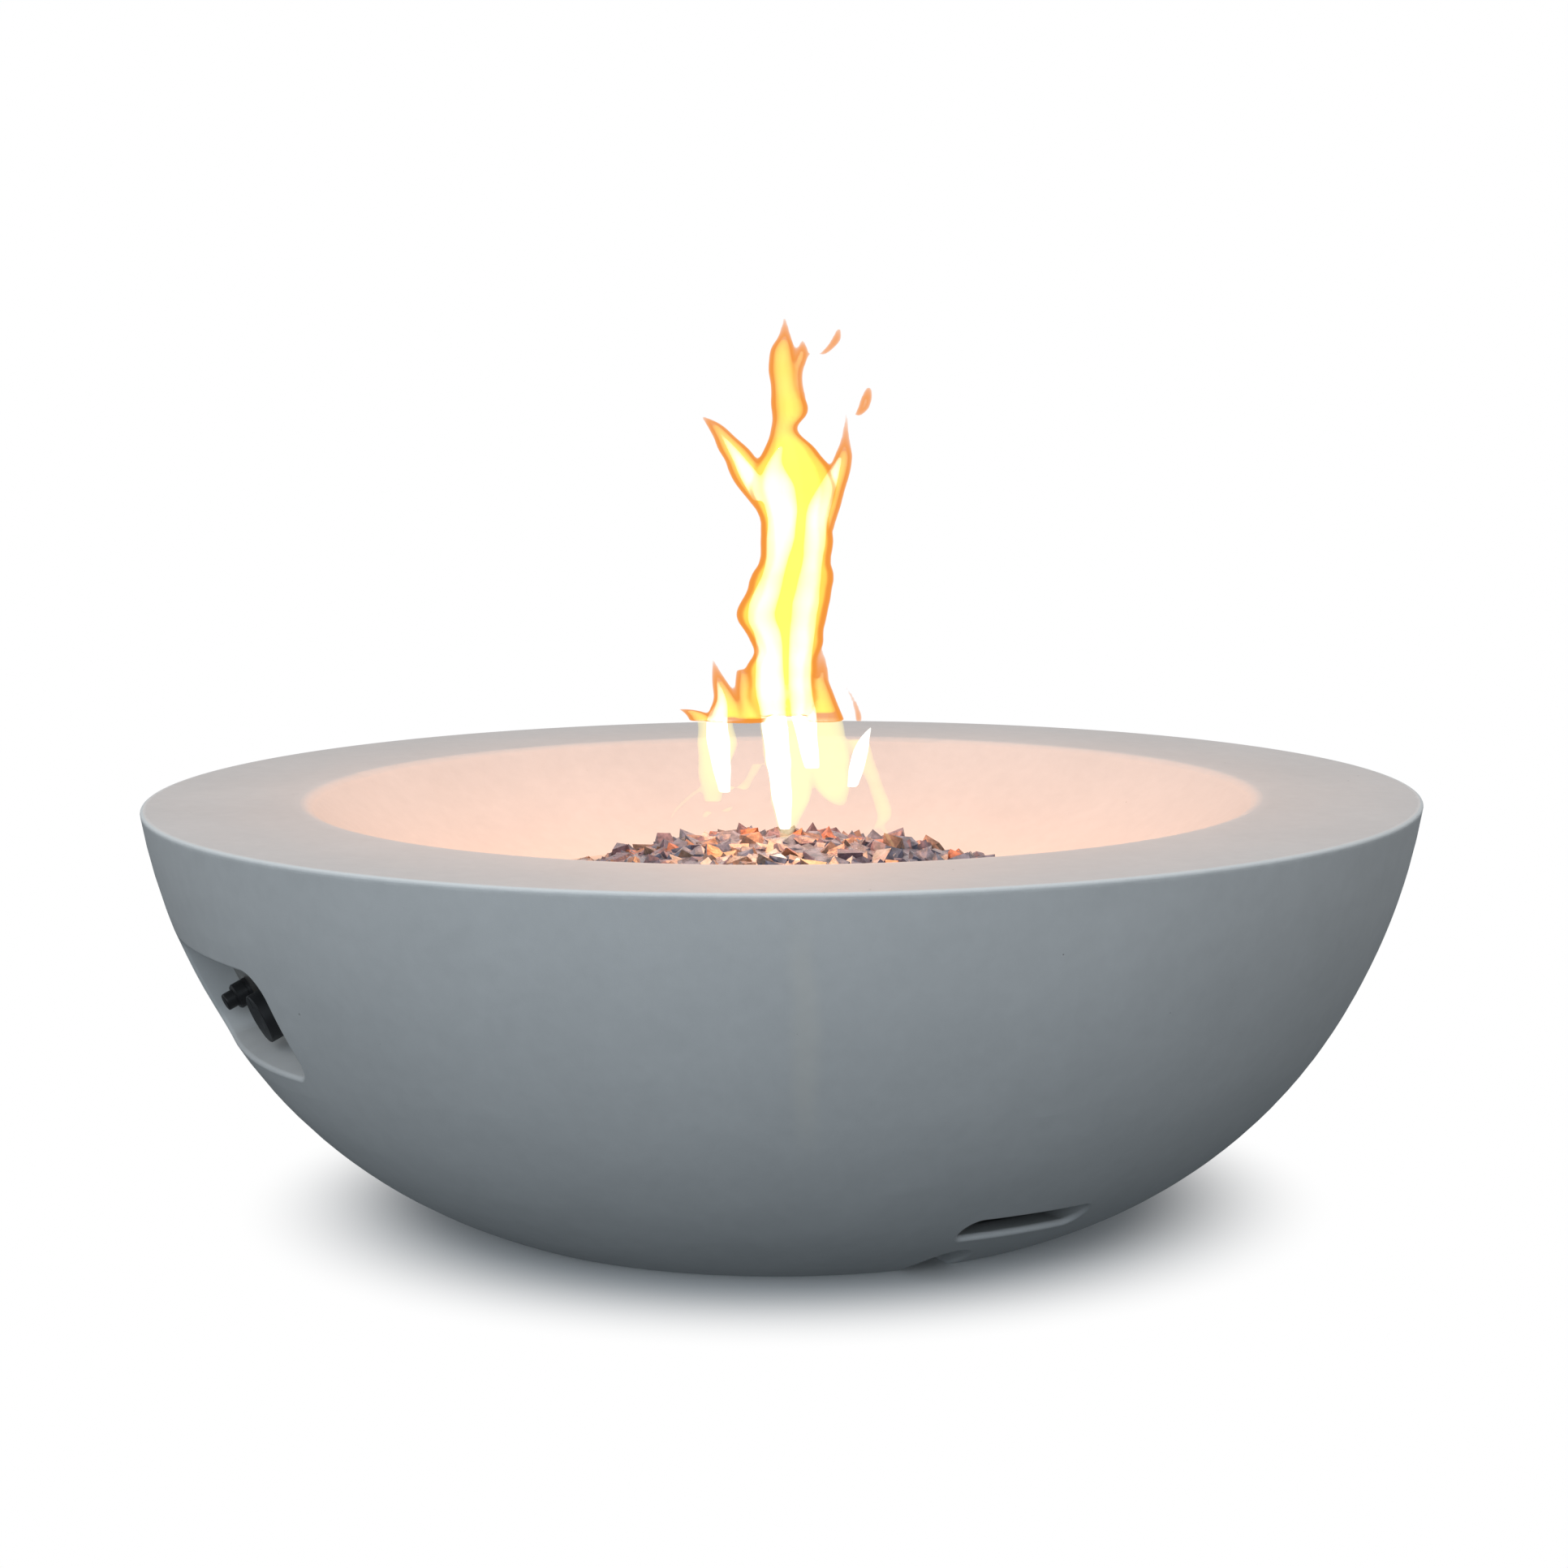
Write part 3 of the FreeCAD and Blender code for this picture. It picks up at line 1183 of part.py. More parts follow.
def ignition_wire():
    """Spark lead from the igniter, under the basin, to the foot of the electrode."""
    wire_radius = 1.6
    bends = [25.0, 60.0, 12.0]
    start = panel_point(IGNITER_X + TERMINAL_X, 0.0, IGNITER_BACK - TERMINAL_LENGTH - 0.2)
    lift = panel_point(IGNITER_X + TERMINAL_X, 0.0, IGNITER_BACK - 38)
    under = Vector(-40, -225, 176)
    foot = Vector(ELECTRODE_X, SENSOR_Y, 150)
    end = Vector(ELECTRODE_X, SENSOR_Y, PIN_BOTTOM - 0.2)
    return tube([start, lift, under, foot, end], bends, wire_radius)


def thermocouple_lead():
    """Copper capillary from the sensor to the magnet unit, with its union nut."""
    lead_radius = 1.5
    bends = [25.0, 60.0, 10.0]
    union = MAGNET_BACK - 0.1
    start = panel_point(0.0, 0.0, union)
    away = panel_point(0.0, 0.0, union - 33.9)
    under = Vector(30, -230, 190)
    foot = Vector(SENSOR_X, SENSOR_Y, 168)
    end = Vector(SENSOR_X, SENSOR_Y, PROBE_BOTTOM - 0.1)
    lead = tube([start, away, under, foot, end], bends, lead_radius)
    nut = on_panel(hexagon(10.0, MAGNET_BACK - 12, union))
    return lead.fuse(nut)


PIECES = {
    "bowl": bowl,
    "burner_pan": burner_pan,
    "burner_ring": burner_ring,
    "burner_nipple": burner_nipple,
    "pan_washers": pan_washers,
    "pan_locknuts": pan_locknuts,
    "air_mixer": air_mixer,
    "gas_orifice": gas_orifice,
    "fire_glass": fire_glass,
    "electrode_bracket": electrode_bracket,
    "bracket_screws": bracket_screws,
    "electrode_insulator": electrode_insulator,
    "electrode_pin": electrode_pin,
    "thermocouple": thermocouple,
    "thermocouple_lead": thermocouple_lead,
    "ignition_wire": ignition_wire,
    "control_panel": control_panel,
    "panel_inserts": panel_inserts,
    "panel_screws": panel_screws,
    "valve_body": valve_body,
    "valve_bonnet": valve_bonnet,
    "bonnet_screws": bonnet_screws,
    "valve_screws": valve_screws,
    "valve_plug": valve_plug,
    "valve_stem": valve_stem,
    "stem_spring": stem_spring,
    "control_knob": control_knob,
    "knob_clip": knob_clip,
    "magnet_unit": magnet_unit,
    "magnet_plunger": magnet_plunger,
    "outlet_fitting": outlet_fitting,
    "inlet_elbow": inlet_elbow,
    "connector_hose": connector_hose,
    "hose_nuts": hose_nuts,
    "igniter_body": igniter_body,
    "igniter_nut": igniter_nut,
    "igniter_button": igniter_button,
    "igniter_spring": igniter_spring,
    "battery_cell": battery_cell,
    "igniter_terminals": igniter_terminals,
}

os.makedirs(OUT, exist_ok=True)
for piece_name, make_piece in PIECES.items():
    save(make_piece(), piece_name)
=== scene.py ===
import itertools
import math
import random

import bmesh
import bpy
from mathutils import Matrix, Vector, noise


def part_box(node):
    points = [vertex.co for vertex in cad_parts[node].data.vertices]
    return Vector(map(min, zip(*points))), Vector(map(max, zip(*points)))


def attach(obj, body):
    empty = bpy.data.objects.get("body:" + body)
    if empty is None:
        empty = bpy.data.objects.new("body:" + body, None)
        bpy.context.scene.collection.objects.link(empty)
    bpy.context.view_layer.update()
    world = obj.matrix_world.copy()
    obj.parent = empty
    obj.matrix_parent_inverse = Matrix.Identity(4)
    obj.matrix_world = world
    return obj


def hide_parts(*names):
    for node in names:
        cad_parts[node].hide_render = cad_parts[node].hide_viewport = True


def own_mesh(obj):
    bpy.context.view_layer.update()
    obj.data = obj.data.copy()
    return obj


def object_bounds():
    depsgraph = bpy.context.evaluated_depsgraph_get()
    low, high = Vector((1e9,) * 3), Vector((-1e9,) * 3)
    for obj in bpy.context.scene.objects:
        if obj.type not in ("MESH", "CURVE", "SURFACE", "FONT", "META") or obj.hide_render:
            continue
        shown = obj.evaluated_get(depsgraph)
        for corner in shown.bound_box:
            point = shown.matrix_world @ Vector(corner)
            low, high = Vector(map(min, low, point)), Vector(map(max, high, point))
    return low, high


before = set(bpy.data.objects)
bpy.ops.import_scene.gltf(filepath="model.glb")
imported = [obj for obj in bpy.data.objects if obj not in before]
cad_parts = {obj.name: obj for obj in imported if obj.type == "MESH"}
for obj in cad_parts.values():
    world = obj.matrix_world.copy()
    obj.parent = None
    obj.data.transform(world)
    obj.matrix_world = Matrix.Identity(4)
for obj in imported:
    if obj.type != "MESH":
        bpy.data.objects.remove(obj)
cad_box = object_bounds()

bl_info = {
    "name": "Gas Fire Bowl",
    "version": (1, 0, 0),
    "blender": (4, 5, 0),
    "location": "View3D > Sidebar > Fire Bowl",
    "description": "Finishes, fire glass, gas tube and flame of a cast concrete fire bowl",
    "category": "Object",
}

# Sizes in metres, most of them read from the frame. The recess faces -Y, and the hose notch faces +X.
RIM_HEIGHT = cad_box[1].z
RIM_RADIUS = cad_box[1].y
LIP_RADIUS = 0.394
BED_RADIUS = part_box("fire_glass")[1].x
BED_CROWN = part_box("fire_glass")[1].z
BED_EDGE = 0.2625
BED_POWER = 2.3

# Centre of the control panel's front face, and how far the panel leans outwards at the top
PANEL_CENTRE = Vector((0.0, -0.4417, 0.2))
PANEL_TILT = math.radians(25.0)
IGNITER_X = -0.088

# Colours of light: slightly blue from the sides, plain white, and warm from the fire
COOL_LIGHT = (0.86, 0.98, 1.08)
WHITE = (1.0, 1.0, 1.0)
WARM_LIGHT = (1.0, 0.43, 0.19)


class Graph:
    """Short ways to add and join the nodes of one tree."""

    def __init__(self, tree):
        self.tree = tree

    def node(self, kind, inputs=None, **settings):
        """Add a node, set its options and feed its inputs."""
        made = self.tree.nodes.new(kind)
        for name, value in settings.items():
            setattr(made, name, value)
        for key, value in (inputs or {}).items():
            self.feed(made.inputs[key], value)
        return made

    def feed(self, socket, value):
        """Link a socket to an output, or set its own value."""
        if isinstance(value, bpy.types.NodeSocket):
            self.tree.links.new(value, socket)
        else:
            socket.default_value = value

    def math(self, operation, a, b=0.0, clamp=False):
        """One sum of two numbers."""
        made = self.node("ShaderNodeMath", {0: a, 1: b}, operation=operation, use_clamp=clamp)
        return made.outputs[0]

    def plus(self, a, b):
        """One number and another."""
        return self.math("ADD", a, b)

    def minus(self, a, b, clamp=False):
        """One number without another."""
        return self.math("SUBTRACT", a, b, clamp)

    def times(self, a, b):
        """One number times another."""
        return self.math("MULTIPLY", a, b)

    def over(self, a, b):
        """One number divided by another."""
        return self.math("DIVIDE", a, b)

    def times_plus(self, a, b, c):
        """One number times another, and a plain number more."""
        made = self.node("ShaderNodeMath", {0: a, 1: b, 2: c}, operation="MULTIPLY_ADD")
        return made.outputs[0]

    def grey(self, value):
        """Colour that is the same number three times."""
        return self.node("ShaderNodeCombineColor", {0: value, 1: value, 2: value}).outputs[0]

    def parts(self, vector):
        """The three numbers of a vector."""
        return self.node("ShaderNodeSeparateXYZ", {0: vector}).outputs

    def length(self, vector):
        """Length of a vector."""
        return self.node("ShaderNodeVectorMath", {0: vector}, operation="LENGTH").outputs["Value"]

    def group(self, build, **values):
        """Outputs of a shared shader group with its own values."""
        made = self.node("ShaderNodeGroup", node_tree=build())
        for label, value in values.items():
            self.feed(made.inputs[label.replace("_", " ")], value)
        return made.outputs

    def mix(self, factor, a, b, blend="MIX"):
        """Blend of two colours."""
        made = self.node("ShaderNodeMix", data_type="RGBA", blend_type=blend)
        self.feed(made.inputs[0], factor)
        self.feed(made.inputs[6], a)
        self.feed(made.inputs[7], b)
        return made.outputs[2]

    def range(self, value, low, high, new_low=0.0, new_high=1.0):
        """Move a value smoothly from one range to another, and hold it there."""
        made = self.node("ShaderNodeMapRange", {0: value, 1: low, 2: high, 3: new_low, 4: new_high},
                         interpolation_type="SMOOTHSTEP")
        return made.outputs[0]

    def noise(self, vector, scale, detail=3.0, roughness=0.5):
        """Cloudy value between 0 and 1."""
        sockets = {"Vector": vector, "Scale": scale, "Detail": detail, "Roughness": roughness}
        return self.node("ShaderNodeTexNoise", sockets).outputs[0]

    def steps(self, value, colours):
        """One of a few colours, each from its own value upwards. The first one starts at 0."""
        made = self.node("ShaderNodeValToRGB", {0: value})
        made.color_ramp.interpolation = "CONSTANT"
        elements = made.color_ramp.elements
        elements.remove(elements[1])
        elements[0].color = opaque(colours[0.0])
        for place in list(colours)[1:]:
            elements.new(place).color = opaque(colours[place])
        return made.outputs[0]

    def place(self):
        """Object coordinates in metres."""
        return self.node("ShaderNodeTexCoord").outputs["Object"]


def shader_group(name, inputs, outputs):
    """New shader node group of named numbers: its graph, what it is given and its output node."""
    tree = bpy.data.node_groups.new(name, "ShaderNodeTree")
    for label, default in inputs.items():
        socket = tree.interface.new_socket(label, in_out="INPUT", socket_type="NodeSocketFloat")
        socket.default_value = default
    for label in outputs:
        tree.interface.new_socket(label, in_out="OUTPUT", socket_type="NodeSocketFloat")
    graph = Graph(tree)
    return graph, graph.node("NodeGroupInput").outputs, graph.node("NodeGroupOutput")


def made_once(build):
    """Return the group of this name if it exists already, and build it otherwise."""
    def get():
        return bpy.data.node_groups.get(build.__doc__.split(":")[0]) or build()
    return get


@made_once
def mottle_group():
    """Mottle: slow cloudy changes of tone, with smaller ones over them."""
    graph, given, out = shader_group("Mottle", {"Size": 0.1, "Contrast": 0.1}, ["Tone"])
    scale = graph.over(1.0, given["Size"])
    slow = graph.noise(graph.place(), scale, 4.0, 0.55)
    quick = graph.noise(graph.place(), graph.times(scale, 7.0), 5.0, 0.6)
    both = graph.plus(graph.times(slow, 0.7), graph.times(quick, 0.3))
    centred = graph.times(graph.minus(both, 0.5), 4.0)
    graph.feed(out.inputs["Tone"], graph.times_plus(centred, given["Contrast"], 1.0))
    return graph.tree


@made_once
def pinhole_group():
    """Pinholes: small round air holes, in only some cells of the surface."""
    sockets = {"Spacing": 0.02, "Hole": 0.0008, "Share": 0.2}
    graph, given, out = shader_group("Pinholes", sockets, ["Mask"])
    scale = graph.over(1.0, given["Spacing"])
    cells = graph.node("ShaderNodeTexVoronoi", {"Vector": graph.place(), "Scale": scale})
    dice = graph.node("ShaderNodeSeparateColor", {0: cells.outputs["Color"]}).outputs
    kept = graph.math("LESS_THAN", dice[0], given["Share"])
    size = graph.times(graph.plus(dice[1], 0.3), given["Hole"])
    reach = graph.times(cells.outputs["Distance"], given["Spacing"])
    near = graph.minus(1.0, graph.over(reach, size), clamp=True)
    graph.feed(out.inputs["Mask"], graph.times(near, kept))
    return graph.tree


@made_once
def hoop_group():
    """Hoop: nearness to a level circle, such as a rim's edge, broken up by noise."""
    sockets = {"Radius": 0.5, "Height": 0.3, "Width": 0.003, "Break": 0.5}
    graph, given, out = shader_group("Hoop", sockets, ["Mask"])
    x, y, z = graph.parts(graph.place())
    across = graph.length(graph.node("ShaderNodeCombineXYZ", {0: x, 1: y}).outputs[0])
    outwards = graph.minus(across, given["Radius"])
    upwards = graph.minus(z, given["Height"])
    away = graph.math("SQRT", graph.plus(graph.times(outwards, outwards), graph.times(upwards, upwards)))
    uneven = graph.times(graph.noise(graph.place(), 60.0, 5.0, 0.65), given["Break"])
    width = graph.times(given["Width"], graph.plus(0.6, uneven))
    graph.feed(out.inputs["Mask"], graph.minus(1.0, graph.over(away, width), clamp=True))
    return graph.tree


@made_once
def brushed_group():
    """Brushed: fine scratches along X, and a slower change of tone."""
    graph, given, out = shader_group("Brushed", {"Line Width": 0.0004}, ["Height", "Tone"])
    stretch = graph.node("ShaderNodeMapping", {0: graph.place(), 3: (0.02, 1.0, 1.0)})
    lines = graph.noise(stretch.outputs[0], graph.over(1.0, given["Line Width"]), 2.0, 0.6)
    cloud = graph.noise(graph.place(), 25.0, 3.0, 0.5)
    graph.feed(out.inputs["Height"], lines)
    graph.feed(out.inputs["Tone"], graph.plus(graph.times(lines, 0.4), graph.times(cloud, 0.6)))
    return graph.tree


@made_once
def grain_group():
    """Grain: fine even roughness, as on cast or moulded surfaces."""
    graph, given, out = shader_group("Grain", {"Size": 0.0006}, ["Height"])
    scale = graph.over(1.0, given["Size"])
    graph.feed(out.inputs["Height"], graph.noise(graph.place(), scale, 3.0, 0.6))
    return graph.tree


@made_once
def tarnish_group():
    """Tarnish: patches where a metal has dulled or coloured."""
    graph, given, out = shader_group("Tarnish", {"Size": 0.02, "Share": 0.4}, ["Mask"])
    cloud = graph.noise(graph.place(), graph.over(1.0, given["Size"]), 5.0, 0.6)
    low = graph.minus(0.75, given["Share"])
    graph.feed(out.inputs["Mask"], graph.range(cloud, low, graph.plus(low, 0.3)))
    return graph.tree


def new_material(name, roughness=0.5, metallic=0.0, **sockets):
    """Material with one Principled BSDF: the material, its graph and the shader."""
    material = bpy.data.materials.new(name)
    material.use_nodes = True
    graph = Graph(material.node_tree)
    graph.tree.nodes.clear()
    shader = graph.node("ShaderNodeBsdfPrincipled", {"Roughness": roughness, "Metallic": metallic})
    for label, value in sockets.items():
        graph.feed(shader.inputs[label.replace("_", " ")], value)
    graph.node("ShaderNodeOutputMaterial", {"Surface": shader.outputs[0]})
    return material, graph, shader


def finish_with(graph, shader, base, height, depth, rough=None):
    """Give a shader its colour, a bump of a height of 0 to 1 times depth in metres, and uneven roughness."""
    bump = graph.node("ShaderNodeBump", {"Strength": 1.0, "Distance": depth, "Height": height})
    graph.feed(shader.inputs["Base Color"], base)
    graph.feed(shader.inputs["Normal"], bump.outputs[0])
    if rough is not None:
        graph.feed(shader.inputs["Roughness"], rough)


def dress(material, *nodes):
    """Give CAD nodes their finish."""
    for node in nodes:
        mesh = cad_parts[node].data
        mesh.materials.clear()
        mesh.materials.append(material)


def new_piece(name, data):
    """Object for a mesh, curve, lamp or camera, at the origin."""
    piece = bpy.data.objects.new(name, data)
    bpy.context.scene.collection.objects.link(piece)
    return piece


def worked_out(piece):
    """Mesh of a piece with its modifiers in it."""
    graph = bpy.context.evaluated_depsgraph_get()
    return bpy.data.meshes.new_from_object(piece.evaluated_get(graph))


def plain_mesh(piece):
    """Bake a piece's modifiers into its mesh."""
    old = piece.data
    baked = worked_out(piece)
    piece.modifiers.clear()
    piece.data = baked
    bpy.data.meshes.remove(old)
    return piece


def closed_mesh(name, made):
    """Mesh of what a bmesh holds, with its faces turned outwards."""
    bmesh.ops.recalc_face_normals(made, faces=made.faces)
    mesh = bpy.data.meshes.new(name)
    made.to_mesh(mesh)
    made.free()
    return mesh


def on_circle(radius, height, corners):
    """Points spaced evenly round a level circle."""
    turns = [2 * math.pi * i / corners for i in range(corners)]
    return [(radius * math.cos(turn), radius * math.sin(turn), height) for turn in turns]


def disc_faces(rings, corners):
    """Faces that join a middle point, numbered 0, and the rings round it."""
    faces = [(0, 1 + i, 1 + (i + 1) % corners) for i in range(corners)]
    for k in range(rings - 1):
        first = 1 + k * corners
        for i in range(corners):
            j = (i + 1) % corners
            faces.append((first + i, first + corners + i, first + corners + j, first + j))
    return faces


def colour_property(name, description, default):
    """Colour that a user may change."""
    return bpy.props.FloatVectorProperty(name=name, description=description, default=default,
                                         subtype="COLOR", size=3, min=0.0, max=1.0)


def length_property(name, description, default):
    """Length that a user may change."""
    return bpy.props.FloatProperty(name=name, description=description, default=default,
                                   unit="LENGTH", min=0.0)


def angle_property(name, description, default):
    """Angle that a user may change, with its default in degrees."""
    return bpy.props.FloatProperty(name=name, description=description, default=math.radians(default),
                                   subtype="ANGLE")


def number_property(name, description, default, low=0.0, high=100.0):
    """Plain number that a user may change."""
    return bpy.props.FloatProperty(name=name, description=description, default=default, min=low, max=high)


def opaque(colour, factor=1.0, more=0.0):
    """Colour with full alpha, made darker or lighter if asked."""
    return tuple(part * factor + more for part in colour) + (1.0,)


class StageSettings(bpy.types.PropertyGroup):
    """Camera, sky and ground."""

    azimuth: angle_property("Azimuth", "Direction of the view, 0 looks along +Y", 65.5)
    elevation: angle_property("Elevation", "Height of the view above level", 7.627)
    roll: angle_property("Roll", "Small turn of the camera about its axis", -0.357)
    distance: length_property("Distance", "From the camera to the middle of the rim", 3.0)
    lens: number_property("Lens", "Focal length in millimetres on a 36 mm frame", 81.41, 1.0, 300.0)
    sky: number_property("Sky", "Brightness of the upper half of the surroundings", 0.74)
    horizon: number_property("Horizon", "Brightness of the surroundings at eye level", 0.54)
    ground: number_property("Ground", "Brightness of the lower half of the surroundings", 0.085)
    ground_blend: number_property("Ground Blend", "How softly the sky turns into the ground", 0.10)
    softbox_power: number_property("Softbox Power", "Watts of the large lamp beside the camera", 35.0)


class CastingSettings(bpy.types.PropertyGroup):
    """Cast concrete."""

    colour: colour_property("Colour", "Dry concrete", (0.570, 0.585, 0.590))
    patch: length_property("Patch Size", "Size of the cloudy patches", 0.16)
    contrast: number_property("Patch Contrast", "Difference in tone between patches", 0.055, 0.0, 1.0)
    hole: length_property("Pinhole Size", "Largest air hole", 0.0011)
    hole_spacing: length_property("Pinhole Spacing", "Distance between places for air holes", 0.026)
    # The pale band on the rim's outer edge is partly wear and partly a painted highlight along the edge.
    edge_width: length_property("Edge Wear And Highlight Width", "Pale band of wear and painted highlight on the rim's edges", 0.0035)


class GlassSettings(bpy.types.PropertyGroup):
    """Crushed fire glass."""

    chunk: length_property("Chunk Size", "Size of a chunk", 0.0225)
    spacing: length_property("Spacing", "Least distance between chunk centres", 0.0118)
    seed: bpy.props.IntProperty(name="Seed", description="Changes how the chunks lie", default=7)
    slate: colour_property("Slate", "Grey-blue chunks", (0.11, 0.13, 0.19))
    plum: colour_property("Plum", "Purple chunks", (0.12, 0.09, 0.12))
    amber: colour_property("Amber", "Brown and amber chunks", (0.17, 0.11, 0.08))
    rust: colour_property("Rust", "Orange-red chunks", (0.30, 0.12, 0.06))
    pale: colour_property("Pale", "A few pale chunks", (0.40, 0.38, 0.38))


class ControlSettings(bpy.types.PropertyGroup):
    """Panel, knob and igniter."""

    plastic: colour_property("Plastic", "Knob and igniter", (0.016, 0.017, 0.019))
    steel: colour_property("Panel Steel", "Brushed stainless plate", (0.46, 0.44, 0.41))


class GasSettings(bpy.types.PropertyGroup):
    """Burner, valve, tube and wires."""

    brass: colour_property("Brass", "Fittings and plug", (0.72, 0.50, 0.20))
    aluminium: colour_property("Cast Aluminium", "Valve and mixer", (0.62, 0.62, 0.62))
    stainless: colour_property("Stainless", "Pan and burner", (0.60, 0.57, 0.53))
    zinc: colour_property("Zinc", "Screws and nuts", (0.62, 0.63, 0.64))
    copper: colour_property("Copper", "Capillary", (0.70, 0.33, 0.19))
    silicone: colour_property("Silicone", "Ignition lead", (0.42, 0.035, 0.025))
    rib_pitch: length_property("Rib Pitch", "Distance between two ribs of the gas tube", 0.0036)


class FlameSettings(bpy.types.PropertyGroup):
    """Flame and its light on the basin."""

    glow: number_property("Glow", "Watts of warm light on the basin", 6.5)
    skin: length_property("Skin", "Thickness of the orange edge", 0.0032)
    edge: colour_property("Edge", "Outer skin of the flame", (0.95, 0.33, 0.05))
    body: colour_property("Body", "Yellow gas inside the skin", (1.0, 1.0, 0.11))
    core: colour_property("Core", "White strands of the flame", (1.0, 1.0, 0.88))
    wisp: colour_property("Wisp", "Pale gas over the glass", (1.0, 0.88, 0.40))


SETTINGS = {
    "fire_stage": StageSettings,
    "fire_casting": CastingSettings,
    "fire_glass": GlassSettings,
    "fire_controls": ControlSettings,
    "fire_gas": GasSettings,
    "fire_flame": FlameSettings,
}


def studio_world(settings):
    """Soft white sky over a dark ground for the light, and plain white for the camera."""
    world = bpy.data.worlds.new("Studio")
    world.use_nodes = True
    graph = Graph(world.node_tree)
    graph.tree.nodes.clear()
    up = graph.parts(graph.node("ShaderNodeTexCoord").outputs["Generated"])[2]
    above = graph.range(up, -settings.ground_blend, settings.ground_blend)
    high = graph.range(up, 0.0, 0.6)
    sky = graph.times_plus(high, settings.sky - settings.horizon, settings.horizon)
    light = graph.times_plus(above, graph.minus(sky, settings.ground), settings.ground)
    tint = graph.mix(high, opaque(COOL_LIGHT), opaque(WHITE))
    seen = graph.node("ShaderNodeLightPath").outputs["Is Camera Ray"]
    lamp = graph.node("ShaderNodeBackground", {"Color": tint, "Strength": light})
    white = graph.node("ShaderNodeBackground", {"Color": opaque(WHITE), "Strength": 1.0})
    both = graph.node("ShaderNodeMixShader", {0: seen, 1: lamp.outputs[0], 2: white.outputs[0]})
    graph.node("ShaderNodeOutputWorld", {"Surface": both.outputs[0]})
    bpy.context.scene.world = world


def empty_material(name):
    """Material without a shader, and its graph."""
    material = bpy.data.materials.new(name)
    material.use_nodes = True
    graph = Graph(material.node_tree)
    graph.tree.nodes.clear()
    return material, graph


def studio_floor():
    """Pale round floor that melts into the white behind it."""
    radii = [0.3, 0.6, 1.2, 3.0, 8.0, 30.0]
    corners = 96
    height = -0.0005
    points = [(0.0, 0.0, height)]
    for radius in radii:
        points += on_circle(radius, height, corners)
    mesh = bpy.data.meshes.new("floor")
    mesh.from_pydata(points, [], disc_faces(len(radii), corners))
    material, graph = empty_material("Pale Floor")
    fade = graph.range(graph.length(graph.place()), 0.29, 0.47)
    matt = graph.node("ShaderNodeBsdfDiffuse", {"Color": opaque((0.96, 0.96, 0.96))})
    white = graph.node("ShaderNodeEmission", {"Color": opaque(WHITE), "Strength": 1.0})
    both = graph.node("ShaderNodeMixShader", {0: fade, 1: matt.outputs[0], 2: white.outputs[0]})
    graph.node("ShaderNodeOutputMaterial", {"Surface": both.outputs[0]})
    material.cycles.emission_sampling = "NONE"
    mesh.materials.append(material)
    floor = new_piece("floor", mesh)
    floor.visible_diffuse = False
    floor.visible_glossy = False
    floor.visible_transmission = False


def look_at(thing, place, target, roll=0.0):
    """Put a lamp or camera in a place, pointing at a target."""
    turn = (Vector(target) - Vector(place)).to_track_quat("-Z", "Y").to_matrix().to_4x4()
    thing.matrix_world = Matrix.Translation(place) @ turn @ Matrix.Rotation(roll, 4, "Z")


class FIREBOWL_OT_stage(bpy.types.Operator):
    """Set up the pale floor, the soft light and the camera"""

    bl_idname = "firebowl.stage"
    bl_label = "Stage"

    def execute(self, context):
        settings = context.scene.fire_stage
        studio_world(settings)
        studio_floor()
        context.scene.view_settings.view_transform = "Standard"
        centre = Vector((0.0, 0.0, RIM_HEIGHT))
        level = math.cos(settings.elevation) * settings.distance
        offset = Vector((level * math.sin(settings.azimuth), -level * math.cos(settings.azimuth),
                         settings.distance * math.sin(settings.elevation)))
        view = bpy.data.cameras.new("Camera")
        view.lens = settings.lens
        view.shift_x = 0.0016
        view.shift_y = 0.0050
        camera = new_piece("Camera", view)
        look_at(camera, centre + offset, centre, settings.roll)
        context.scene.camera = camera
        light = bpy.data.lights.new("Softbox", "AREA")
        light.shape = "DISK"
        light.size = 2.4
        light.energy = settings.softbox_power
        light.color = COOL_LIGHT
        softbox = new_piece("Softbox", light)
        softbox.visible_camera = False
        look_at(softbox, Vector((2.8, -2.3, 1.5)), centre)
        return {"FINISHED"}


def pour_line(graph):
    """Faint pale line down the wall, left where the casting was poured."""
    x, y, z = graph.parts(graph.place())
    bearing = graph.math("ARCTAN2", x, graph.times(y, -1.0))
    middle = graph.plus(graph.times(graph.noise(graph.place(), 9.0, 3.0), 0.05), 1.150)
    line = graph.range(graph.math("ABSOLUTE", graph.minus(bearing, middle)), 0.030, 0.004)
    upright = graph.times(graph.range(z, 0.12, 0.2), graph.range(z, 0.345, 0.28))
    return graph.times(graph.times(line, upright), 0.30)


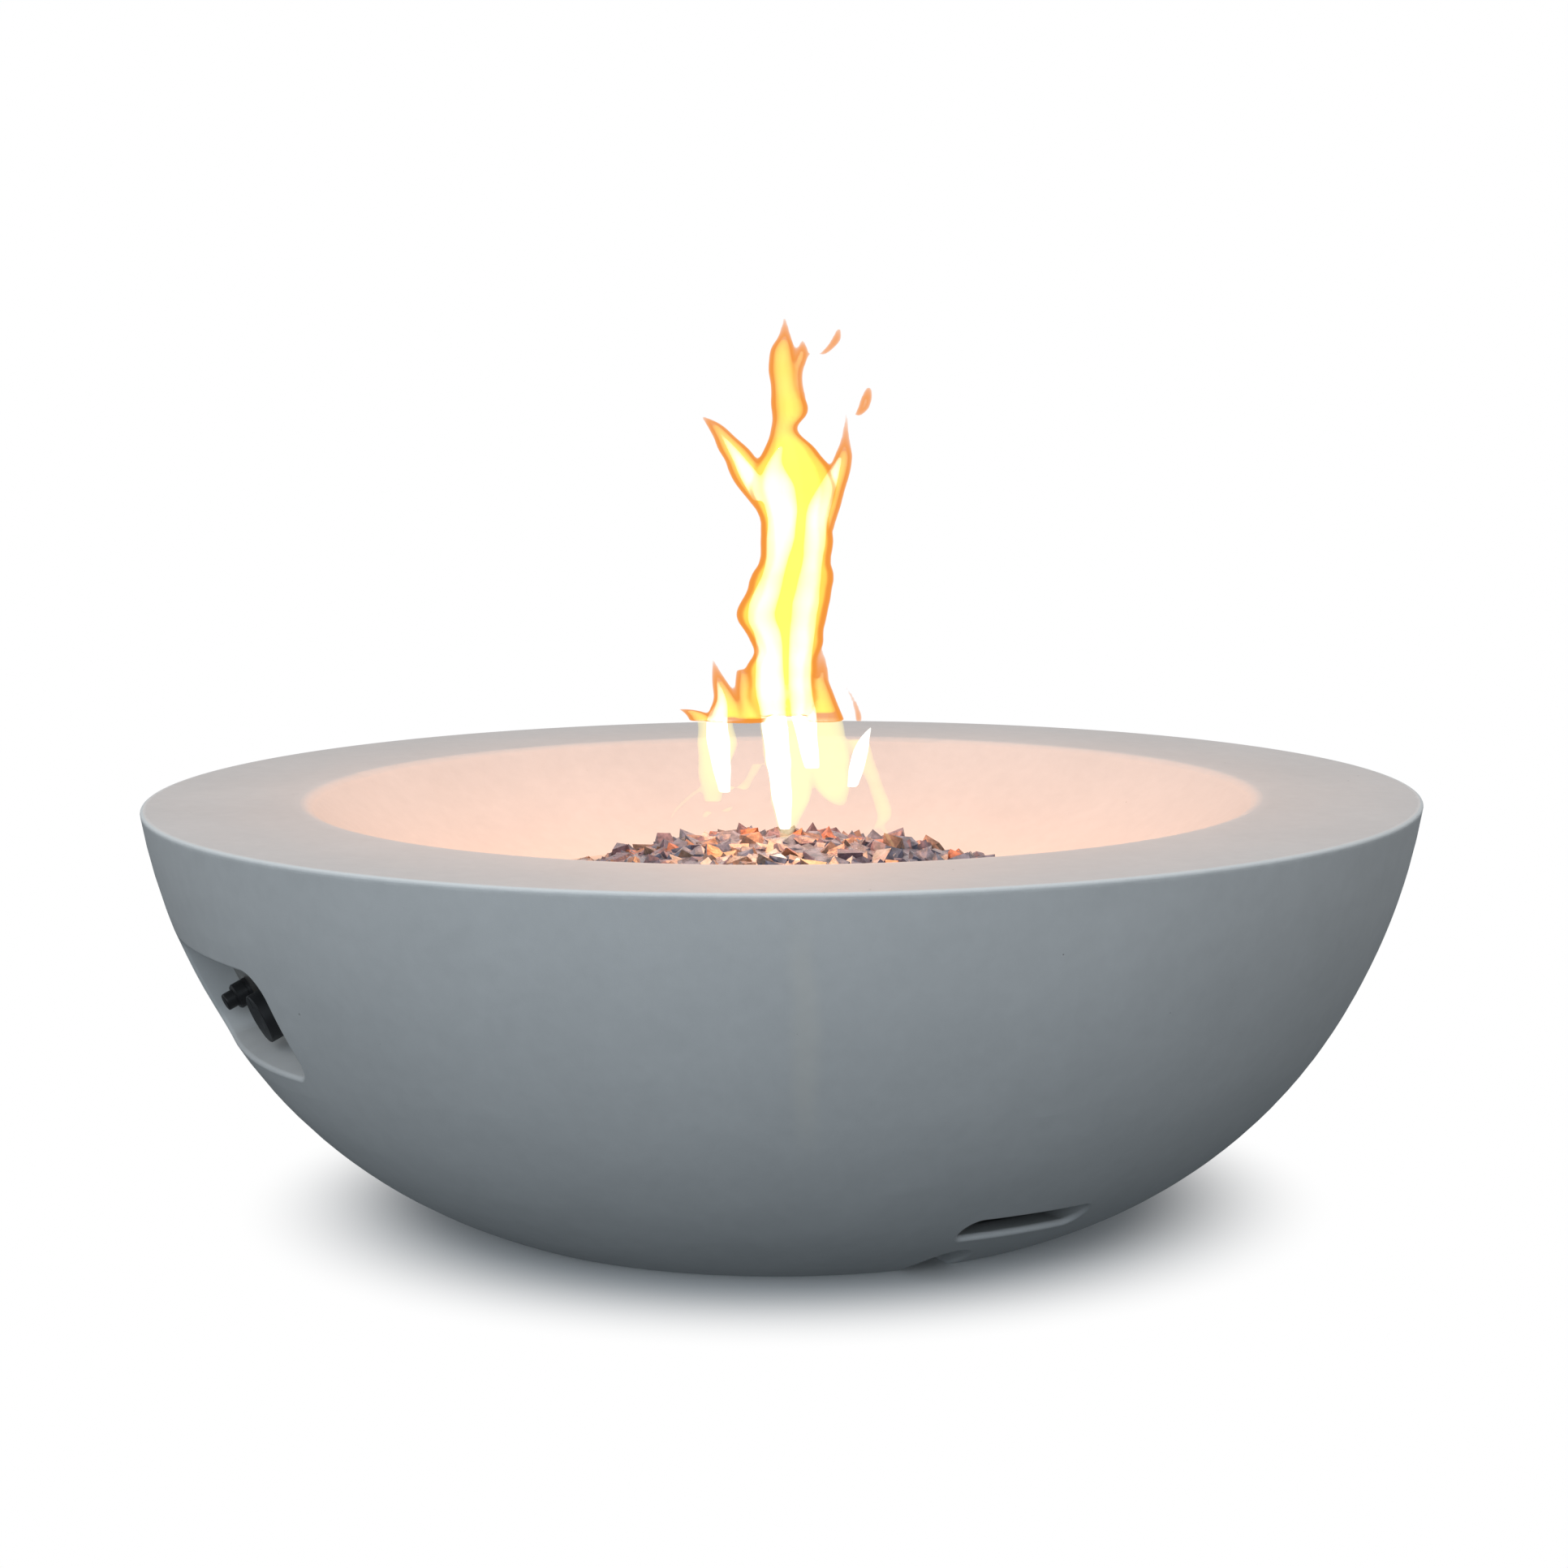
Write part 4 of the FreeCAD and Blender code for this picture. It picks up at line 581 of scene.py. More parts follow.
def concrete(settings):
    """Cast concrete: cloudy grey, pinholes, pale worn edges, a faint pour line."""
    material, graph, shader = new_material("Cast Concrete", roughness=0.82, Specular_IOR_Level=0.28)
    clouds = graph.group(mottle_group, Size=settings.patch, Contrast=settings.contrast)[0]
    fine = graph.group(mottle_group, Size=0.012, Contrast=settings.contrast * 0.55)[0]
    tone = graph.times(clouds, fine)
    holes = graph.group(pinhole_group, Spacing=settings.hole_spacing, Hole=settings.hole, Share=0.16)[0]
    tiny_holes = graph.group(pinhole_group, Spacing=0.008, Hole=0.0004, Share=0.12)[0]
    pits = graph.math("MAXIMUM", graph.times(holes, 0.75), graph.times(tiny_holes, 0.4), clamp=True)
    outer_wear_and_highlight = graph.group(hoop_group, Radius=RIM_RADIUS - 0.0008, Height=RIM_HEIGHT - 0.0006,
                        Width=settings.edge_width, Break=1.3)[0]
    inner = graph.group(hoop_group, Radius=LIP_RADIUS + 0.006, Height=RIM_HEIGHT - 0.0005,
                        Width=0.012, Break=0.8)[0]
    base = graph.mix(1.0, opaque(settings.colour), graph.grey(tone), "MULTIPLY")
    base = graph.mix(pour_line(graph), base, opaque((0.70, 0.68, 0.62)))
    # Pale band on the rim's outer edge: partly edge wear, partly a painted highlight along the edge.
    base = graph.mix(graph.times(outer_wear_and_highlight, 0.75), base, opaque((0.80, 0.82, 0.82)))
    base = graph.mix(graph.times(inner, 0.20), base, opaque((0.74, 0.74, 0.74)))
    # Pinholes and tiny holes painted dark: painted shade inside the holes.
    base = graph.mix(pits, base, opaque((0.16, 0.16, 0.16)))
    grain = graph.times(graph.group(grain_group, Size=0.0009)[0], 0.10)
    waves = graph.times(graph.noise(graph.place(), 14.0, 2.0, 0.4), 1.6)
    chips = graph.times(graph.times(outer_wear_and_highlight, graph.noise(graph.place(), 300.0, 3.0, 0.7)), 0.6)
    height = graph.minus(graph.minus(graph.plus(grain, waves), chips), pits)
    finish_with(graph, shader, base, height, 0.0009, graph.range(tone, 0.85, 1.15, 0.74, 0.88))
    return material


class FIREBOWL_OT_casting(bpy.types.Operator):
    """Finish the concrete bowl"""

    bl_idname = "firebowl.casting"
    bl_label = "Concrete Bowl"

    def execute(self, context):
        dress(concrete(context.scene.fire_casting), "bowl")
        return {"FINISHED"}


def bed_height(radius):
    """Height of the glass bed at a distance from its centre."""
    return BED_CROWN - (BED_CROWN - BED_EDGE) * min(1.0, radius / BED_RADIUS) ** BED_POWER


def bed_core(sink):
    """Closed dome just under the chunks, so that no gap between them shows the pan."""
    rings = 14
    corners = 64
    edge = BED_RADIUS - 0.006
    floor = BED_EDGE - 0.004
    points = [(0.0, 0.0, bed_height(0.0) - sink)]
    for k in range(1, rings + 1):
        radius = edge * k / rings
        points += on_circle(radius, max(bed_height(radius) - sink, floor + 0.001), corners)
    points += on_circle(edge, floor, corners)
    made = bmesh.new()
    vertices = [made.verts.new(point) for point in points]
    for face in disc_faces(rings + 1, corners):
        made.faces.new([vertices[i] for i in face])
    made.faces.new(list(reversed(vertices[-corners:])))
    return closed_mesh("fire_glass_bed", made)


# First input and own output of the random value node, for each kind of value
RANDOM_SOCKETS = {"FLOAT_VECTOR": (0, 0), "FLOAT": (2, 1), "INT": (4, 2)}


def random_field(graph, kind, low, high, seed):
    """Random number or vector, another one for each point."""
    first, result = RANDOM_SOCKETS[kind]
    made = graph.node("FunctionNodeRandomValue", {first: low, first + 1: high, "Seed": seed}, data_type=kind)
    return made.outputs[result]


def chunk_variants(graph, count):
    """Angular chunks: the hulls of jittered blocks of points, as one set of instances."""
    chosen = graph.node("GeometryNodeGeometryToInstance")
    side = 0.82
    jitter = 0.27
    for i in range(count):
        block = graph.node("GeometryNodeMeshCube", {
            "Size": (side, side, side), "Vertices X": 3 if i % 2 else 2, "Vertices Y": 2,
            "Vertices Z": 2 + i % 3 // 2})
        offset = random_field(graph, "FLOAT_VECTOR", (-jitter,) * 3, (jitter,) * 3, 11 + i)
        moved = graph.node("GeometryNodeSetPosition", {"Geometry": block.outputs[0], "Offset": offset})
        hull = graph.node("GeometryNodeConvexHull", {0: moved.outputs[0]})
        graph.tree.links.new(hull.outputs[0], chosen.inputs[0])
    return chosen.outputs[0]


def geometry_group(name, numbers, whole=()):
    """New geometry node group with named inputs: its graph, what it is given and its output node."""
    tree = bpy.data.node_groups.new(name, "GeometryNodeTree")
    for side in ("INPUT", "OUTPUT"):
        tree.interface.new_socket("Geometry", in_out=side, socket_type="NodeSocketGeometry")
    for label in numbers:
        tree.interface.new_socket(label, in_out="INPUT", socket_type="NodeSocketFloat")
    for label in whole:
        tree.interface.new_socket(label, in_out="INPUT", socket_type="NodeSocketInt")
    tree.interface.new_socket("Finish", in_out="INPUT", socket_type="NodeSocketMaterial")
    graph = Graph(tree)
    return graph, graph.node("NodeGroupInput").outputs, graph.node("NodeGroupOutput")


def end_tree(graph, given, out, geometry):
    """End a geometry tree: real meshes in their finish."""
    real = graph.node("GeometryNodeRealizeInstances", {0: geometry})
    finished = graph.node("GeometryNodeSetMaterial", {0: real.outputs[0], "Material": given["Finish"]})
    graph.feed(out.inputs[0], finished.outputs[0])
    return graph.tree


def sweep(graph, curve, scale=1.0, **profile):
    """Smooth round tube along a curve, with closed ends."""
    circle = graph.node("GeometryNodeCurvePrimitiveCircle", profile)
    swept = graph.node("GeometryNodeCurveToMesh", {
        "Curve": curve, "Profile Curve": circle.outputs[0], "Scale": scale, "Fill Caps": True})
    return graph.node("GeometryNodeSetShadeSmooth", {0: swept.outputs[0]}).outputs[0]


def set_tree(piece, tree, **values):
    """Put a geometry tree on a piece with its own input values."""
    modifier = piece.modifiers.new(tree.name, "NODES")
    modifier.node_group = tree
    for item in tree.interface.items_tree:
        if item.item_type == "SOCKET" and item.in_out == "INPUT" and item.name in values:
            modifier[item.identifier] = values[item.name]


def chunk_layer(graph, given, variants, seed, share, spacing, lift):
    """One layer of chunks over the top of the bed."""
    up = graph.parts(graph.node("GeometryNodeInputNormal").outputs[0])[2]
    top = graph.node("FunctionNodeCompare", {0: up, 1: 0.2}, data_type="FLOAT", operation="GREATER_THAN")
    points = graph.node("GeometryNodeDistributePointsOnFaces", {
        "Mesh": given["Geometry"], "Selection": top.outputs[0],
        "Distance Min": graph.times(given["Spacing"], spacing), "Density Max": 40000.0,
        "Density Factor": share, "Seed": graph.plus(given["Seed"], float(seed))}, distribute_method="POISSON")
    aside = 0.002
    upright = 0.0025
    drift = random_field(graph, "FLOAT_VECTOR", (-aside, -aside, lift - upright),
                         (aside, aside, lift + upright), seed + 1)
    raised = graph.node("GeometryNodeSetPosition", {"Geometry": points.outputs["Points"], "Offset": drift})
    size = random_field(graph, "FLOAT_VECTOR", (0.62, 0.55, 0.45), (1.12, 1.0, 0.9), seed + 2)
    scaled = graph.node("ShaderNodeVectorMath", {0: size, 3: given["Chunk"]}, operation="SCALE")
    placed = graph.node("GeometryNodeInstanceOnPoints", {
        "Points": raised.outputs[0], "Instance": variants, "Pick Instance": True,
        "Instance Index": random_field(graph, "INT", 0, 100, seed + 4),
        "Rotation": random_field(graph, "FLOAT_VECTOR", (0.0,) * 3, (6.283,) * 3, seed + 3),
        "Scale": scaled.outputs[0]})
    stored = graph.node("GeometryNodeStoreNamedAttribute", {
        "Geometry": placed.outputs[0], "Name": "chunk_tint",
        "Value": random_field(graph, "FLOAT", 0.0, 1.0, seed + 5)}, data_type="FLOAT", domain="INSTANCE")
    return stored.outputs[0]


def chunk_tree():
    """Geometry tree that piles crushed glass over a bed."""
    graph, given, out = geometry_group("Crushed Glass", ["Chunk", "Spacing"], ["Seed"])
    variants = chunk_variants(graph, 12)
    joined = graph.node("GeometryNodeJoinGeometry")
    low = chunk_layer(graph, given, variants, 100, 1.0, 1.0, -0.008)
    high = chunk_layer(graph, given, variants, 200, 0.5, 1.45, -0.0045)
    for part in (low, high, given["Geometry"]):
        graph.tree.links.new(part, joined.inputs[0])
    return end_tree(graph, given, out, joined.outputs[0])


def crushed_glass(settings):
    """Glossy tinted glass, one tint for each chunk, with darker and lighter veins inside."""
    material, graph, shader = new_material("Crushed Glass", roughness=0.24, IOR=1.5, Transmission_Weight=0.12,
                                           Coat_Weight=0.2, Coat_Roughness=0.08)
    tint = graph.node("ShaderNodeAttribute", attribute_name="chunk_tint").outputs["Fac"]
    colours = {0.0: settings.slate, 0.34: settings.plum, 0.50: settings.slate, 0.64: settings.amber,
               0.80: settings.plum, 0.88: settings.rust, 0.965: settings.pale}
    colour = graph.steps(tint, colours)
    veins = graph.noise(graph.place(), 130.0, 3.0, 0.6)
    shade = graph.grey(graph.range(veins, 0.3, 0.7, 0.6, 1.6))
    base = graph.mix(1.0, colour, shade, "MULTIPLY")
    finish_with(graph, shader, base, graph.noise(graph.place(), 420.0, 3.0, 0.5), 0.0004)
    return material


def stray_chunk(name, place, size, seed, tint, material):
    """One loose chunk on the basin."""
    dice = random.Random(seed)
    made = bmesh.new()
    half = 0.4
    jitter = 0.13
    for corner in itertools.product((-half, half), repeat=3):
        offset = Vector([dice.uniform(-jitter, jitter) for _ in range(3)])
        made.verts.new((Vector(corner) + offset) * size + Vector(place))
    bmesh.ops.convex_hull(made, input=made.verts)
    mesh = closed_mesh(name, made)
    values = mesh.attributes.new("chunk_tint", "FLOAT", "POINT")
    values.data.foreach_set("value", [tint] * len(mesh.vertices))
    mesh.materials.append(material)
    piece = new_piece(name, mesh)
    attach(piece, "root")


class FIREBOWL_OT_fire_glass(bpy.types.Operator):
    """Pile the crushed fire glass over the burner"""

    bl_idname = "firebowl.fire_glass"
    bl_label = "Fire Glass"

    def execute(self, context):
        settings = context.scene.fire_glass
        material = crushed_glass(settings)
        bed = new_piece("fire_glass_bed", bed_core(0.014))
        set_tree(bed, chunk_tree(), Chunk=settings.chunk, Spacing=settings.spacing, Seed=settings.seed,
                 Finish=material)
        plain_mesh(bed)
        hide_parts("fire_glass")
        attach(bed, "root")
        stray_chunk("stray_chunk", (0.012, -0.2615, 0.2725), 0.015, 5, 0.1, material)
        return {"FINISHED"}


def moulded_plastic(name, colour, grain):
    """Matt black moulded plastic with a fine spark-eroded grain and a few rubbed places."""
    material, graph, shader = new_material(name, roughness=0.42, Specular_IOR_Level=0.45)
    rubbed = graph.group(tarnish_group, Size=0.008, Share=0.28)[0]
    base = graph.mix(graph.times(rubbed, 0.5), opaque(colour), opaque(colour, 1.7, 0.004))
    finish_with(graph, shader, base, graph.group(grain_group, Size=grain)[0], 0.00006,
                graph.range(rubbed, 0.0, 1.0, 0.46, 0.34))
    return material


def brushed_metal(name, colour, roughness, tarnish, heat=None):
    """Brushed sheet metal with fine scratches and dull patches, tinted by heat if asked."""
    material, graph, shader = new_material(name, roughness=roughness, metallic=1.0)
    brushed = graph.group(brushed_group, Line_Width=0.0004)
    dull = graph.group(tarnish_group, Size=0.03, Share=tarnish)[0]
    base = graph.mix(graph.times(dull, 0.6), opaque(colour), opaque(colour, 0.72))
    if heat:
        hot = graph.noise(graph.place(), 30.0, 4.0, 0.6)
        base = graph.mix(graph.range(hot, 0.42, 0.66, 0.0, 0.8), base, opaque(heat))
    rough = graph.range(brushed["Tone"], 0.3, 0.7, roughness - 0.07, roughness + 0.08)
    rough = graph.plus(rough, graph.times(dull, 0.12))
    finish_with(graph, shader, base, brushed["Height"], 0.00004, rough)
    return material


def cast_metal(name, colour, roughness, grain, depth, dull_colour=None):
    """Cast or turned metal with a fine grain and dull patches."""
    material, graph, shader = new_material(name, roughness=roughness, metallic=1.0)
    dull = graph.group(tarnish_group, Size=0.012, Share=0.35)[0]
    dark = opaque(dull_colour) if dull_colour else opaque(colour, 0.6)
    base = graph.mix(graph.times(dull, 0.7), opaque(colour), dark)
    finish_with(graph, shader, base, graph.group(grain_group, Size=grain)[0], depth,
                graph.range(dull, 0.0, 1.0, roughness, roughness + 0.2))
    return material


def ceramic():
    """Unglazed ceramic with faint specks."""
    material, graph, shader = new_material("Ceramic", roughness=0.55, Specular_IOR_Level=0.4)
    specks = graph.group(pinhole_group, Spacing=0.0025, Hole=0.0005, Share=0.3)[0]
    tone = graph.group(mottle_group, Size=0.01, Contrast=0.04)[0]
    base = graph.mix(1.0, opaque((0.86, 0.84, 0.78)), graph.grey(tone), "MULTIPLY")
    base = graph.mix(specks, base, opaque((0.5, 0.45, 0.38)))
    finish_with(graph, shader, base, graph.group(grain_group, Size=0.0005)[0], 0.00005)
    return material


def soft_sleeve(name, colour, roughness):
    """Silicone or shrink sleeve with a faint bloom."""
    material, graph, shader = new_material(name, roughness=roughness, Specular_IOR_Level=0.4,
                                           Sheen_Weight=0.15)
    bloom = graph.group(tarnish_group, Size=0.01, Share=0.3)[0]
    base = graph.mix(graph.times(bloom, 0.5), opaque(colour), opaque(colour, 1.5, 0.02))
    finish_with(graph, shader, base, graph.group(grain_group, Size=0.0008)[0], 0.00004)
    return material


class FIREBOWL_OT_controls(bpy.types.Operator):
    """Finish the panel, the knob and the igniter"""

    bl_idname = "firebowl.controls"
    bl_label = "Controls"

    def execute(self, context):
        settings = context.scene.fire_controls
        darker = opaque(settings.plastic, 0.7)[:3]
        dress(brushed_metal("Panel Stainless", settings.steel, 0.30, 0.35), "control_panel")
        dress(moulded_plastic("Knob Plastic", settings.plastic, 0.0004), "control_knob")
        dress(moulded_plastic("Igniter Plastic", darker, 0.0006),
              "igniter_body", "igniter_button", "igniter_nut")
        return {"FINISHED"}


class FIREBOWL_OT_burner(bpy.types.Operator):
    """Finish the pan, the burner, the spark electrode and the flame sensor"""

    bl_idname = "firebowl.burner"
    bl_label = "Burner"

    def execute(self, context):
        settings = context.scene.fire_gas
        dress(brushed_metal("Pan Stainless", settings.stainless, 0.34, 0.3),
              "burner_pan", "electrode_bracket")
        dress(brushed_metal("Heat Tinted Stainless", settings.stainless, 0.36, 0.4, heat=(0.30, 0.20, 0.16)),
              "burner_ring")
        dress(cast_metal("Zinc Plate", settings.zinc, 0.30, 0.0005, 0.00003, (0.50, 0.50, 0.46)),
              "burner_nipple", "pan_washers", "pan_locknuts", "bracket_screws", "electrode_pin",
              "thermocouple", "panel_screws", "valve_screws", "bonnet_screws", "valve_stem",
              "magnet_plunger", "igniter_terminals")
        dress(cast_metal("Die Cast Aluminium", settings.aluminium, 0.42, 0.0009, 0.00010),
              "air_mixer", "valve_body", "valve_bonnet")
        dress(ceramic(), "electrode_insulator")
        return {"FINISHED"}


def tube_tree():
    """Geometry tree that sweeps a ribbed tube along a rounded path, plain for a short way at its start."""
    graph, given, out = geometry_group("Ribbed Tube", ["Radius", "Rib", "Pitch"])
    fine = graph.node("GeometryNodeResampleCurve", {"Curve": given["Geometry"]}, mode="LENGTH")
    graph.feed(fine.inputs["Length"], graph.over(given["Pitch"], 4.0))
    index = graph.node("GeometryNodeInputIndex").outputs[0]
    crest = graph.math("SINE", graph.times(index, math.pi / 2))
    along = graph.node("GeometryNodeSplineParameter").outputs["Length"]
    swell = graph.times(graph.times(crest, graph.math("GREATER_THAN", along, 0.012)), given["Rib"])
    radius = graph.minus(graph.plus(given["Radius"], swell), given["Rib"])
    sized = graph.node("GeometryNodeSetCurveRadius", {"Curve": fine.outputs[0], "Radius": radius})
    scale = graph.node("GeometryNodeInputRadius").outputs[0]
    return end_tree(graph, given, out, sweep(graph, sized.outputs[0], scale, Resolution=24, Radius=1.0))


def rounded_path(name, points, radii):
    """Curve along straight runs joined by arcs, one radius for each inner point."""
    steps = 16
    rounded = [points[0]]
    for before, corner, after, radius in zip(points, points[1:], points[2:], radii):
        back = (before - corner).normalized()
        ahead = (after - corner).normalized()
        half = back.angle(ahead) / 2
        centre = corner + (back + ahead).normalized() * (radius / math.sin(half))
        enter = corner + back * (radius / math.tan(half)) - centre
        leave = corner + ahead * (radius / math.tan(half)) - centre
        for k in range(steps + 1):
            rounded.append(centre + enter.slerp(leave, k / steps).normalized() * radius)
    rounded.append(points[-1])
    curve = bpy.data.curves.new(name, "CURVE")
    curve.dimensions = "3D"
    spline = curve.splines.new("POLY")
    spline.points.add(len(rounded) - 1)
    for point, place in zip(spline.points, rounded):
        point.co = (*place, 1.0)
    return new_piece(name, curve)


def panel_place(x):
    """Matrix that stands a shape made along Z square to the control panel, with its foot on the panel."""
    turn = Matrix.Rotation(math.pi / 2 + PANEL_TILT, 4, "X")
    return Matrix.Translation(PANEL_CENTRE + Vector((x, 0.0, 0.0))) @ turn


class FIREBOWL_OT_gas_train(bpy.types.Operator):
    """Finish the brass fittings and sweep the ribbed gas tube"""

    bl_idname = "firebowl.gas_train"
    bl_label = "Gas Train"

    def execute(self, context):
        settings = context.scene.fire_gas
        dress(cast_metal("Machined Brass", settings.brass, 0.26, 0.0006, 0.00004, (0.42, 0.27, 0.12)),
              "gas_orifice", "hose_nuts", "outlet_fitting", "inlet_elbow", "magnet_unit", "valve_plug",
              "panel_inserts")
        path = rounded_path("gas_path", self.route(), [0.095, 0.042])
        set_tree(path, tube_tree(), Radius=0.0063, Rib=0.0006, Pitch=settings.rib_pitch,
                 Finish=brushed_metal("Ribbed Stainless", (0.62, 0.61, 0.58), 0.28, 0.25))
        tube = new_piece("gas_tube", worked_out(path))
        bpy.data.objects.remove(path)
        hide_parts("connector_hose")
        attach(tube, "root")
        return {"FINISHED"}

    def route(self):
        """From the valve's outlet down to a level run under the pan, and up into the mixer."""
        run_height = 0.062
        start = panel_place(0.0) @ Vector((0.0, -0.0452, -0.033))
        forward = (start.z - run_height) * math.tan(PANEL_TILT)
        corner = Vector((0.0, start.y + forward, run_height))
        return [start, corner, Vector((0.0, 0.0, run_height)), Vector((0.0, 0.0, 0.1128))]


def spring_tree():
    """Geometry tree that winds a round wire into a spring along Z."""
    graph, given, out = geometry_group("Wound Spring", ["Turns", "Radius", "Length", "Wire"])
    helix = graph.node("GeometryNodeCurveSpiral", {
        "Resolution": 24, "Rotations": given["Turns"], "Start Radius": given["Radius"],
        "End Radius": given["Radius"], "Height": given["Length"]})
    spring = sweep(graph, helix.outputs[0], Resolution=10, Radius=given["Wire"])
    return end_tree(graph, given, out, spring)


class FIREBOWL_OT_springs(bpy.types.Operator):
    """Wind the stem's and the igniter's springs, and finish the knob's clip"""

    bl_idname = "firebowl.springs"
    bl_label = "Springs"

    def execute(self, context):
        steel = cast_metal("Spring Steel", (0.45, 0.45, 0.46), 0.28, 0.0004, 0.00002)
        dress(steel, "knob_clip")
        tree = spring_tree()
        self.wind(tree, "stem_spring", "knob_push", panel_place(0.0), -0.0239, 0.0097, 0.0035,
                  Finish=steel, Radius=0.0054, Wire=0.0006, Turns=4.0)
        self.wind(tree, "igniter_spring", "igniter_press", panel_place(IGNITER_X), 0.0020, 0.0074, 0.0050,
                  Finish=steel, Radius=0.0050, Wire=0.00045, Turns=3.0)
        return {"FINISHED"}

    def wind(self, tree, node, joint, place, foot, length, travel, **sizes):
        """Spring from its foot towards the front, which shortens as its joint moves."""
        wire = sizes["Wire"]
        piece = new_piece(node + "_coil", bpy.data.meshes.new(node + "_coil"))
        set_tree(piece, tree, Length=length - 2 * wire, **sizes)
        plain_mesh(piece)
        piece.data.transform(place @ Matrix.Translation((0.0, 0.0, foot + wire)))
        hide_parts(node)
        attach(piece, "root")
        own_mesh(piece)


class FIREBOWL_OT_wiring(bpy.types.Operator):
    """Finish the ignition lead, the copper capillary and the cell"""

    bl_idname = "firebowl.wiring"
    bl_label = "Wiring"

    def execute(self, context):
        settings = context.scene.fire_gas
        dress(soft_sleeve("Red Silicone", settings.silicone, 0.5), "ignition_wire")
        dress(cast_metal("Drawn Copper", settings.copper, 0.3, 0.0005, 0.00002, (0.35, 0.16, 0.10)),
              "thermocouple_lead")
        dress(soft_sleeve("Cell Sleeve", (0.10, 0.16, 0.22), 0.3), "battery_cell")
        return {"FINISHED"}


# Tongues of the flame as seen from the camera's side, from foot to tip: across, height above the rim
# and half width, in millimetres
TONGUES = [
    [(3, -34, 7), (8, 0, 18), (10, 14, 21), (3, 44, 25), (1, 80, 31), (1, 106, 31), (6, 123, 29),
     (1, 149, 38), (8, 172, 35), (14, 206, 29), (13, 233, 34), (10, 262, 39), (9, 288, 23), (4, 305, 12),
     (9, 320, 15), (5, 343, 13), (3, 368, 11), (5, 383, 5), (5, 398, 1)],
    [(-8, 236, 10), (-20, 260, 16), (-32, 280, 15), (-45, 298, 10), (-55, 310, 6), (-65, 317, 1)],
    [(34, 222, 12), (42, 254, 13), (52, 277, 9), (55, 295, 4), (56, 318, 1)],
    [(-42, 34, 16), (-44, 60, 18), (-46, 78, 12), (-53, 98, 5), (-57, 113, 1)],
    [(-50, 34, 14), (-62, 56, 13), (-70, 66, 10), (-79, 70, 6), (-87, 71, 1)],
    [(32, 96, 8), (36, 60, 17), (38, 34, 20)],
    [(62, 34, 11), (70, 46, 9), (77, 56, 5), (82, 62, 1)],
    [(66, 52, 3), (65, 66, 3), (60, 80, 2), (53, 91, 1)],
    [(-34, 52, 14), (-24, 66, 16), (-28, 84, 11), (-32, 104, 5)],
    [(30, 76, 10), (34, 92, 7), (35, 108, 4), (35, 120, 1)],
    [(14, 316, 7), (15, 330, 7), (14, 352, 6), (19, 368, 6), (20, 379, 1)],
    [(14, 362, 5), (24, 367, 3), (35, 367, 3), (43, 373, 4), (48, 380, 4), (50, 388, 2)],
    [(65, 316, 3), (70, 322, 5), (73, 331, 5), (75, 340, 2)],
]

# White strands inside the flame, in the same measures
STRANDS = [
    [(3, -32, 5), (0, 0, 9), (-4, 44, 11), (-9, 90, 12), (-10, 130, 11), (-16, 152, 12), (-4, 190, 10),
     (2, 230, 13), (-2, 256, 15), (-4, 276, 7), (2, 292, 2)],
    [(26, 20, 6), (20, 60, 10), (16, 100, 10), (20, 150, 11), (28, 200, 9), (32, 236, 10), (42, 262, 7),
     (51, 282, 2)],
    [(-48, 0, 5), (-52, 34, 9), (-54, 60, 9), (-50, 78, 5), (-54, 96, 1)],
    [(60, 4, 5), (66, 30, 7), (71, 46, 4), (77, 56, 1)],
    [(-14, 246, 8), (-27, 270, 8), (-40, 290, 4), (-50, 303, 1)],
]

# Pale gas over the glass and just above the rim, in the same measures
WISPS = [
    [(3, -50, 4), (4, -34, 7), (8, 0, 18), (8, 40, 24), (4, 62, 24)],
    [(50, -12, 4), (44, 0, 14), (38, 34, 20), (36, 62, 15)],
    [(-58, -8, 7), (-58, 16, 12), (-54, 40, 16), (-56, 62, 15)],
    [(-48, 6, 4), (-36, 2, 7), (-28, 10, 4), (-20, 24, 5)],
    [(-42, -12, 2), (-50, -17, 5), (-60, -16, 5), (-66, -22, 2)],
    [(64, 44, 10), (72, 24, 8), (80, 4, 6), (87, -20, 7), (80, -32, 3)],
    [(84, -28, 3), (94, -46, 2), (103, -58, 1)],
    [(-66, 4, 4), (-78, -4, 3), (-90, -16, 2), (-96, -27, 1)],
]

# Rings between two listed points, corners of a ring, its depth as a share of its width, the least
# half width in millimetres, and the least size that a ring keeps once its skin is off
GAS_STEPS = 5
GAS_CORNERS = 14
GAS_FLATNESS = 0.8
GAS_LEAST = 0.8
GAS_WORTH = 1.5

# Height over the rim at which the coloured part of the flame begins, in metres
COLOUR_LOW = 0.059


def smoothed(points, skin):
    """Rings of a tongue on a smooth curve through its hand-set points, less a skin, in metres."""
    rings = []
    padded = [points[0]] + points + [points[-1]]
    for a, b, c, d in zip(padded, padded[1:], padded[2:], padded[3:]):
        for k in range(GAS_STEPS):
            t = k / GAS_STEPS
            rings.append([0.5 * (2 * q + (r - p) * t + (2 * p - 5 * q + 4 * r - s) * t * t
                                 + (3 * q - p - 3 * r + s) * t ** 3) for p, q, r, s in zip(a, b, c, d)])
    rings.append(points[-1])
    kept = [ring for ring in rings if skin == 0.0 or ring[2] > skin + GAS_WORTH]
    return [(x / 1000, z / 1000, max(GAS_LEAST, half - skin) / 1000) for x, z, half in kept]


